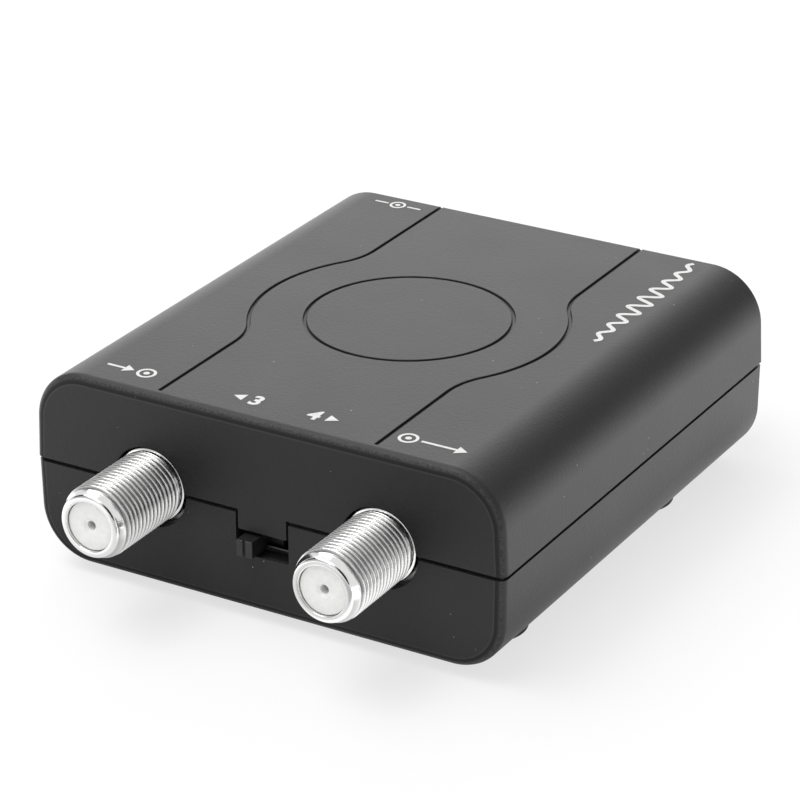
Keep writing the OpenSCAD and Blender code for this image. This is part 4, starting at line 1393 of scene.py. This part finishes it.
@dataclass
class ChannelSwitch:
    """The slide switch in its opening. The knob and its moving contact ride on the slider."""

    face: float = -31.75
    sheet: float = 0.4
    half: float = 5.4
    deep: float = 4.0
    low: float = 7.5
    high: float = 13.9
    slot_half: float = 3.6
    slot_low: float = 9.9
    slot_high: float = 12.15
    knob_x: float = -1.55
    knob_half: float = 1.15
    reach: float = 1.7
    slider_half: float = 2.9
    slider_thick: float = 1.8
    slider_behind: float = 0.7
    wiper_half: float = 1.7
    lip_height: float = 0.34

    def frame(self) -> None:
        """Builds the folded sheet frame, coloured near black as painted shade, and the lip of its slot
        in a paler copy of that sheet as a painted lit band.
        """
        face, half, sheet = self.face, self.half, self.sheet
        body = Solid.block((-half, face, self.low), (half, face + self.deep, self.high), 0.25)
        body.join([
            Solid.block(
                (-half + sheet, face + sheet, self.low + sheet),
                (half - sheet, face + self.deep + 1, self.high - sheet)
            ),
            Solid.block(
                (-self.slot_half, face - 1, self.slot_low), (self.slot_half, face + 2, self.slot_high),
                0.2, 2
            ),
        ])
        body.piece("switch_sheet_frame", SHADED_SHEET, ["switch_frame"], "tinplate")
        lip = Solid.block(
            (-self.slot_half, face - 0.08, self.slot_low - self.lip_height),
            (self.slot_half + 0.12, face + sheet + 0.2, self.slot_low), 0.1, 2
        )
        lip.piece("switch_slot_lip", LIT_SHEET_EDGE, [], "tinplate")

    def knob(self) -> None:
        """Builds the knob with its finger groove, its neck and the slider behind the sheet."""
        x, z, half = self.knob_x, CASE.knob_z, self.knob_half
        slider = self.face + self.slider_behind
        back = slider + self.slider_thick
        tip = CASE.front - self.reach
        body = Solid.block((x - half, tip, z - half), (x + half, self.face - 0.3, z + half), 0.14)
        neck = Solid.block((x - half, CASE.front, z - 0.5), (x + half, back, z + half), 0.1, 2)
        wide = self.slider_half
        plate = Solid.block((x - wide, slider, z - 2.5), (x + wide, back, z + 2.5), 0.15)
        body.join([neck, plate], Joining.FUSE)
        groove = Solid.prism(
            [(x - 0.28, -tip + 0.5), (x - 0.28, -tip), (x - 0.1, -tip - 0.3), (x + 0.1, -tip - 0.3),
             (x + 0.28, -tip), (x + 0.28, -tip + 0.5)],
            -z - 2, -z + 2, Heading.DOWN
        )
        body.join([groove])
        body.piece("channel_switch_knob", KNOB_PLASTIC, ["switch_knob"], "black_plastic", SLIDER)

    def wiper(self) -> None:
        """Builds the moving contact, a plate behind the slider."""
        x, z, half = self.knob_x, CASE.knob_z, self.wiper_half
        y = self.face + self.slider_behind + self.slider_thick
        body = Solid.block((x - half, y, z - 0.75), (x + half, y + 0.3, z + 0.75), 0.06, 2)
        body.piece("switch_moving_contact", CONTACT_METAL, ["switch_wiper"], "contact_metal", SLIDER)

    def build(self) -> None:
        """Builds the switch."""
        self.frame()
        self.knob()
        self.wiper()


@dataclass
class PhonoSockets:
    """The three phono sockets at the back."""

    names: tuple[str, ...] = ("video", "left_audio", "right_audio")
    radius: float = 4.15
    sleeve: float = 0.45
    reach: float = 9.0
    inner: float = 27.05
    flange_back: float = 35.55
    flange: float = 5.2
    flange_thick: float = 0.5
    tab_half: float = 0.8
    face_drop: float = 0.4
    pocket: float = 1.99
    mouth_radius: float = 2.2
    mouth_deep: float = 2.2
    contact_radius: float = 1.97
    contact_hole: float = 1.62
    contact_back: float = 4.4
    contact_drop: float = 2.6
    tail_half: float = 0.6

    def sleeves(self) -> None:
        """Builds the metal sleeves with a rolled mouth, an earth flange and a tab."""
        tip = CASE.back + self.reach
        for name, x in zip(self.names, CASE.phono_x):
            place = Place(x, self.inner, CASE.phono_z, Heading.BACK)
            end = tip - self.inner
            flange = self.flange_back - self.inner
            under = flange - self.flange_thick
            outer, wide = self.radius, self.flange
            inner = outer - self.sleeve
            profile = [
                (inner, 0), (outer, 0), (outer, under), (wide - 0.1, under), (wide, under + 0.1),
                (wide, flange - 0.1), (wide - 0.1, flange), (outer, flange), (outer, end - 0.3),
                (outer - 0.06, end - 0.1), (outer - 0.2, end), (inner + 0.15, end),
                (inner + 0.03, end - 0.06), (inner, end - 0.2),
            ]
            body = Solid.lathe(profile, place, looped=True, steps=96)
            near, far, half = self.flange_back - self.flange_thick, self.flange_back, self.tab_half
            body.join([Solid.block(
                (x - half, near, CASE.board), (x + half, far, CASE.phono_z - outer + 0.1)
            )], Joining.FUSE)
            body.piece(name + "_metal_sleeve", NICKEL, [name + "_sleeve"], "nickel")

    def insulators(self) -> None:
        """Builds the coloured insulators with a stepped face and a funnel."""
        looks = {
            "video": (YELLOW_PLASTIC, "yellow_plastic"), "left_audio": (WHITE_PLASTIC, "white_plastic"),
            "right_audio": (RED_PLASTIC, "red_plastic"),
        }
        for name, x in zip(self.names, CASE.phono_x):
            place = Place(x, self.inner, CASE.phono_z, Heading.BACK)
            end = CASE.back + self.reach - self.face_drop - self.inner
            floor = end - self.mouth_deep
            outer = self.radius - self.sleeve - 0.02
            profile = [
                (self.pocket, 0), (outer, 0), (outer, end - 0.2), (outer - 0.15, end - 0.04),
                (outer - 0.3, end), (2.9, end), (2.75, end - 0.05), (2.6, end - 0.25),
                (2.4, end - 0.3), (2.25, end - 0.4), (self.mouth_radius, end - 0.6),
                (self.mouth_radius, floor), (self.pocket, floor),
            ]
            finish, slot = looks[name]
            Solid.lathe(profile, place, looped=True).piece(
                name + "_socket_insulator", finish, [name + "_insulator"], slot
            )

    def contacts(self) -> None:
        """Builds the centre contacts, slit tubes with solder tails."""
        made = []
        for x in CASE.phono_x:
            place = Place(x, self.inner, CASE.phono_z, Heading.BACK)
            front = CASE.back + self.reach - self.contact_drop - self.inner
            outer, hole_radius, end = self.contact_radius, self.contact_hole, -self.contact_back
            tube = Solid.lathe(
                [(0, end), (outer, end), (outer, front - 0.15), (1.85, front), (1.72, front),
                 (hole_radius, front - 0.15), (hole_radius, 0), (0, 0)],
                place, steps=48
            )
            mouth, z = self.inner + front, CASE.phono_z
            tube.join([Solid.block((x - 0.15, mouth - 5, z - 3), (x + 0.15, mouth + 1, z + 3))])
            back, half = self.inner - self.contact_back, self.tail_half
            tail = Solid.block((x - half, back, CASE.board), (x + half, back + 0.4, z))
            tube.join([tail], Joining.FUSE)
            made.append(tube)
        made[0].with_(made[1:]).piece(
            "phono_centre_contacts", CONTACT_METAL, ["phono_contacts"], "contact_metal"
        )

    def build(self) -> None:
        """Builds the sockets."""
        self.sleeves()
        self.insulators()
        self.contacts()


@dataclass
class PowerSocket:
    """The barrel socket at the back left."""

    bore: float = 3.15
    snout: float = 4.4
    face: float = 35.55
    mouth: float = 37.45
    deep: float = 9.6
    width: float = 9.0
    length: float = 13.0
    rise: float = 4.3
    snout_reach: float = 1.9
    pin_radius: float = 1.0
    pin_root: float = 1.5
    pin_length: float = 8.1
    pin_back: float = 5.1
    pin_hole: float = 1.52

    def housing(self) -> None:
        """Builds the housing with a rounded snout and a bevelled mouth."""
        x, z, half = CASE.power_x, CASE.power_z, self.width / 2
        body = Solid.block(
            (x - half, self.face - self.length, CASE.board), (x + half, self.face, z + self.rise), 0.3
        )
        tip = self.snout_reach
        snout = Solid.lathe(
            [(0, -3), (self.snout, -3), (self.snout, 1.6), (self.snout - 0.12, 1.82),
             (self.snout - 0.3, tip), (0, tip)],
            Place(x, self.face, z, Heading.BACK), steps=96
        )
        body.join([snout], Joining.FUSE)
        wide = self.bore + 0.25
        bore = Solid.lathe(
            [(0, 1), (wide, 1), (wide, 0), (self.bore, -0.25), (self.bore, -self.deep),
             (self.pin_hole, -self.deep), (self.pin_hole, -20), (0, -20)],
            Place(x, self.mouth, z, Heading.BACK), steps=96
        )
        floor = self.mouth - self.deep
        channel = Solid.block((x - 1, floor, z - self.bore - 0.4), (x + 1, floor + 7.5, z))
        drop = Solid.block((x - 1, floor, 7), (x + 1, floor + 0.4, z))
        body.join([bore, channel, drop])
        body.piece("power_socket_housing", SOCKET_PLASTIC, ["power_housing"], "black_plastic")

    def pin(self) -> None:
        """Builds the centre pin with a rounded slit tip and its solder tag."""
        place = Place(CASE.power_x, self.mouth - self.deep, CASE.power_z, Heading.BACK)
        root, radius, end, cap = self.pin_root, self.pin_radius, self.pin_length, 0.7
        profile = [(0, -self.pin_back), (root, -self.pin_back), (root, 0), (radius, 0), (radius, end)]
        profile += [(radius * math.cos(a), end + cap * math.sin(a)) for a in (0.4, 0.8, 1.2)]
        body = Solid.lathe(profile + [(0, end + cap)], place, steps=48)
        x, y, z = place.x, place.y, place.z
        body.join([Solid.block((x - 0.13, y + 5, z - 2), (x + 0.13, y + 10, z + 2))])
        tag = Solid.block((x - 1, y - self.pin_back - 0.4, CASE.board), (x + 1, y - self.pin_back, z))
        body.join([tag], Joining.FUSE)
        body.piece("power_centre_pin", NICKEL, ["power_pin"], "nickel")

    def build(self) -> None:
        """Builds the socket."""
        self.housing()
        self.pin()


@dataclass
class TopPrint:
    """Plain printed signs on the top: figures at the switch, arrows, rings and a wave."""

    low: float = CASE.top - 0.02
    high: float = CASE.top + 0.02
    line: float = 0.42
    front_row: float = CASE.front + 4.9
    back_row: float = CASE.front + 68.7
    input_x: float = -19.6
    output_x: float = 17.9
    figure: float = 2.35
    wave_x: float = 23.9
    wave_start: float = CASE.front + 41.0
    wave_end: float = CASE.front + 69.8
    wave_turns: int = 9
    wave_line: float = 0.62

    def flat(self, outline: Sequence[Point2]) -> Solid:
        """A sign with an outline."""
        return Solid.prism(outline, self.low, self.high)

    def ring(self, x: float, y: float, outer: float, inner: float) -> Solid:
        """A ring sign."""
        profile = [(inner, self.low), (outer, self.low), (outer, self.high), (inner, self.high)]
        return Solid.lathe(profile, Place(x, y, 0, Heading.UP), looped=True, steps=48)

    def dot(self, x: float, y: float, radius: float) -> Solid:
        """A dot sign."""
        return self.flat(arc(x, y, radius, 0, 360, 32)[:-1])

    def arrow(self, x0: float, x1: float, y: float, head: float = 0.95) -> Solid:
        """An arrow from x0 to x1."""
        way = 1 if x1 > x0 else -1
        neck = x1 - way * head * 1.5
        half = self.line / 2
        lower = [(x0, y - half), (neck, y - half), (neck, y - head)]
        return self.flat(lower + [(x1, y)] + [(x, 2 * y - v) for x, v in reversed(lower)])

    def triangle(self, x: float, y: float, reach: float) -> Solid:
        """A triangle that points to the left or the right."""
        return self.flat([(x + reach, y), (x, y + 0.85), (x, y - 0.85)])

    def stroke(self, path: Sequence[Point2], width: float) -> Solid:
        """A line of even width along a path."""
        left: list[Point2] = []
        right: list[Point2] = []
        for i, (x, y) in enumerate(path):
            before = path[max(i - 1, 0)]
            after = path[min(i + 1, len(path) - 1)]
            way = Vector((after[0] - before[0], after[1] - before[1])).normalized() * (width / 2)
            left.append((x - way.y, y + way.x))
            right.append((x + way.y, y - way.x))
        quads = len(path)
        points = [(x, y, z) for z in (self.low, self.high) for x, y in left + right]
        faces: list[Sequence[int]] = []
        half = 2 * quads
        for i in range(quads - 1):
            a, b, c, d = i, i + 1, quads + i + 1, quads + i
            faces += [(a, b, c, d), (half + a, half + b, half + c, half + d)]
            faces += [(a, b, half + b, half + a), (d, c, half + c, half + d)]
        for a, d in ((0, quads), (quads - 1, 2 * quads - 1)):
            faces.append((a, d, half + d, half + a))
        return Solid(points, faces)

    def wave(self) -> Solid:
        """A carrier wave whose swing grows and shrinks, along the right side."""
        first, last, turns = self.wave_start, self.wave_end, self.wave_turns
        count = turns * 28
        path = []
        for i in range(count + 1):
            t = i / count
            swing = 0.5 + 0.8 * math.sin(math.pi * t) ** 2
            across = self.wave_x + swing * math.sin(math.tau * turns * t)
            path.append((across, first + (last - first) * t))
        return self.stroke(path, self.wave_line)

    def sign(self, name: str, parts: Sequence[Solid]) -> None:
        """Makes one printed sign of separate solids."""
        first, *rest = parts
        first.with_(rest).piece(name, INK, [], "white_plastic")

    def build(self) -> None:
        """Prints every sign."""
        y = self.front_row
        self.sign("print_input_sign", [
            self.arrow(-25.4, -21.4, y), self.ring(self.input_x, y, 1.3, 0.92),
            self.dot(self.input_x, y, 0.4)
        ])
        self.sign("print_first_channel_mark", [
            self.triangle(-5.2, y, -1.5),
            Solid.numeral("3", self.figure, -3.4, y, self.low, self.high),
        ])
        self.sign("print_second_channel_mark", [
            Solid.numeral("4", self.figure, 4.9, y, self.low, self.high),
            self.triangle(6.7, y, 1.5),
        ])
        self.sign("print_output_sign", [
            self.ring(self.output_x, y, 1.3, 0.92), self.dot(self.output_x, y, 0.4),
            self.arrow(19.7, 25.9, y)
        ])
        x, y = CASE.power_x, self.back_row
        self.sign("print_power_sign", [
            self.ring(x, y, 1.15, 0.8), self.dot(x, y, 0.36),
            self.stroke([(-24.6, y), (-22.5, y)], 0.34), self.stroke([(-19.5, y), (-17.4, y)], 0.34),
        ])
        self.sign("print_wave_sign", [self.wave()])


class Inside:
    """The nodes that the closed case hides. Their shapes stay as they are."""

    looks: dict[str, Finish] = {
        "main_board": BOARD, "board_screws": SCREW_STEEL, "shield_can": TINPLATE,
        "shield_lid": TINPLATE, "shield_divider": TINPLATE, "switch_base": BASE_SHEET,
        "switch_terminals": CONTACT_METAL, "phono_housing": SOCKET_PLASTIC,
        "power_spring": CONTACT_METAL, "modulator_chip": CHIP_PLASTIC, "chip_legs": TINPLATE,
        "crystal": SCREW_STEEL, "rf_chokes": CHOKE, "ceramic_capacitors": CERAMIC,
        "electrolytic_capacitors": SLEEVE, "voltage_regulator": CHIP_PLASTIC,
        "regulator_tab": TINPLATE, "resistors": RESISTOR, "polarity_diode": DIODE,
    }

    def build(self) -> None:
        """Gives each hidden node its finish."""
        for name, finish in self.looks.items():
            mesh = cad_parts[name].data
            mesh.materials.clear()
            mesh.materials.append(finish.material())
            log.info("%s: kept, %s", name, finish.name)


# Camera, floor and light

@dataclass
class Studio:
    """The camera at the photograph's angle, a pale floor and soft light.

    The camera's places and the floor's spans are in millimetres. A patch is a darker field of the
    reflected surround: its direction, the cosines at which it starts and is full, and its level. A
    lamp has a name, a place in metres, the length of its side in metres and its power in watts.
    """

    spot: Point3 = (201.29, -341.94, 201.54)
    target: Point3 = (1.958, -3.85, 18.758)
    roll: float = -0.367
    lens: float = 152.66
    surround: float = 0.55
    gloss: float = 0.95
    floor_near: float = 0.95
    floor_far: float = 2.05
    floor_left: float = 0.7
    floor_right: float = 0.4
    floor_dim: float = 0.4
    floor_shade: float = 0.5
    floor_colour: float = 0.86
    floor_white: float = 0.7
    floor_half: float = 3.0
    deep_span: Point2 = (-40, 50)
    left_span: Point2 = (20, 60)
    near_span: Point2 = (-72, -62)
    right_span: Point2 = (-5, 12)
    shade_reach: float = 16
    patches: tuple[tuple[Point3, float, float, float], ...] = (
        ((0.52, 0.8, 0.3), 0.86, 0.96, 0.3),
        ((0.62, -0.52, 0.59), 0.84, 0.91, 0.03),
        ((-0.82, -0.1, 0.56), 0.9, 0.96, 0.1),
        ((-0.7, -0.6, 0.36), 0.8, 0.95, 0.7),
    )
    lamps: tuple[tuple[str, Point3, float, float], ...] = (
        ("back left softbox", (-0.55, 0.93, 0.5), 0.9, 4.85),
        ("overhead softbox", (-0.25, -0.36, 1.05), 0.7, 6.0),
        ("high left softbox", (-0.5, 0.02, 0.97), 0.6, 3.6),
    )
    aim: Point3 = (0, 0, 0.015)

    def camera(self) -> None:
        """Sets the camera up."""
        data = bpy.data.cameras.new("camera")
        data.sensor_width = 36
        data.lens = self.lens
        data.clip_start = 0.01
        data.clip_end = 20
        camera = bpy.data.objects.new("camera", data)
        bpy.context.scene.collection.objects.link(camera)
        spot = Vector(self.spot) * MM
        ahead = (Vector(self.target) * MM - spot).normalized()
        level = ahead.to_track_quat("-Z", "Y").to_matrix()
        turn = level @ Matrix.Rotation(math.radians(self.roll), 3, "Z")
        camera.matrix_world = Matrix.Translation(spot) @ turn.to_4x4()
        bpy.context.scene.camera = camera

    def fade(self, tree: Tree, value: Sock, span: Point2, first: float, last: float) -> Sock:
        """A number that goes from first to last as a value crosses a span."""
        return tree.ramp(value, ((span[0], first), (span[1], last)))

    def floor(self) -> None:
        """Lays a wide pale floor that keeps a soft shadow, with its own levels in reflections."""
        mesh = bpy.data.meshes.new("floor")
        r = self.floor_half
        mesh.from_pydata([(-r, -r, 0), (r, -r, 0), (r, r, 0), (-r, r, 0)], [], [(0, 1, 2, 3)])
        floor = bpy.data.objects.new("floor", mesh)
        bpy.context.scene.collection.objects.link(floor)
        look = bpy.data.materials.new("floor")
        tree = Tree(look)
        ray = tree.node("LightPath", {}, {})
        seen = Sock(tree, ray.outputs["Is Camera Ray"]) | Sock(tree, ray.outputs["Is Transmission Ray"])
        mirrored = Sock(tree, ray.outputs["Is Glossy Ray"])
        x, y, _ = tree.axes(tree.place())
        # painted reflection: the floor glows for glossy rays only, at levels graded across it
        glow = self.fade(tree, x * 0.5 + y, self.deep_span, self.floor_near, self.floor_far)
        glow = glow + self.fade(tree, x * -1, self.left_span, 0.0, self.floor_left)
        near = self.fade(tree, y, self.near_span, 0.0, 1.0)
        right = self.fade(tree, x, self.right_span, 0.0, 1.0)
        glow = glow + near * right * self.floor_right - (1 - near) * right * self.floor_dim
        beside = tree.add("Math", {"operation": "ABSOLUTE"}, {0: x}) - CASE.width / 2
        ahead = tree.add("Math", {"operation": "ABSOLUTE"}, {0: y - CASE.middle}) - CASE.depth / 2
        away = tree.add("Math", {"operation": "MAXIMUM"}, {0: beside, 1: ahead})
        # painted shadow: the glow fades near the case's footprint
        glow = glow * self.fade(tree, away, (0, self.shade_reach), self.floor_shade, 1.0)
        grey = self.floor_colour
        plain = tree.add("BsdfDiffuse", {}, {"Color": (grey, grey, grey, 1)})
        strength = mirrored * (glow - 1.0) + 1.0
        white = tree.add("Emission", {}, {"Color": (1, 1, 1, 1), "Strength": strength})
        share = (seen * self.floor_white) | mirrored
        both = tree.add("MixShader", {}, {0: share, 1: plain, 2: white})
        tree.node("OutputMaterial", {}, {"Surface": both})
        mesh.materials.append(look)

    def world(self) -> None:
        """White where it is seen, and an even light otherwise, with darker patches in the gloss."""
        world = bpy.data.worlds.new("surround")
        bpy.context.scene.world = world
        tree = Tree(world)
        ray = tree.node("LightPath", {}, {})
        seen = Sock(tree, ray.outputs["Is Camera Ray"]) | Sock(tree, ray.outputs["Is Transmission Ray"])
        way = tree.add("TexCoord", output="Generated")
        mirrored = Sock(tree, ray.outputs["Is Glossy Ray"])
        gloss: Sock | float = self.gloss
        for toward, start, end, low in self.patches:
            near = tree.add("VectorMath", {"operation": "DOT_PRODUCT"}, {0: way, 1: toward}, "Value")
            gloss = tree.ramp(near, ((start, 1.0), (end, low))) * gloss
        level = mirrored * (gloss - self.surround) + self.surround
        soft = tree.add("Background", {}, {"Color": (1, 1, 1, 1), "Strength": level})
        white = tree.add("Background", {}, {"Color": (1, 1, 1, 1), "Strength": 1.0})
        both = tree.add("MixShader", {}, {0: seen, 1: soft, 2: white})
        tree.node("OutputWorld", {}, {"Surface": both})

    def lamp(self, name: str, spot: Point3, size: float, power: float) -> None:
        """Hangs a soft square lamp that shines at the object.

        Args:
            name: Its name.
            spot: Its place in metres.
            size: The length of its side in metres.
            power: Its power in watts.
        """
        data = bpy.data.lights.new(name, "AREA")
        data.size = size
        data.energy = power
        lamp = bpy.data.objects.new(name, data)
        bpy.context.scene.collection.objects.link(lamp)
        turn = (Vector(self.aim) - Vector(spot)).to_track_quat("-Z", "Y")
        lamp.matrix_world = Matrix.Translation(spot) @ turn.to_matrix().to_4x4()

    def build(self) -> None:
        """Sets the studio up."""
        self.camera()
        self.floor()
        self.world()
        for name, spot, size, power in self.lamps:
            self.lamp(name, spot, size, power)
        bpy.context.scene.view_settings.view_transform = "Standard"


def main() -> None:
    """Builds the modulator's sub-assemblies in order."""
    logging.basicConfig(level=logging.INFO, format="%(name)s %(message)s")
    Studio().build()
    CaseShells().build()
    for name, side in (("rf_in", -1), ("rf_out", 1)):
        CoaxConnector(name, side * CASE.coax_x).build()
    ChannelSwitch().build()
    PhonoSockets().build()
    PowerSocket().build()
    TopPrint().build()
    Inside().build()


if __name__ == "__main__":
    main()
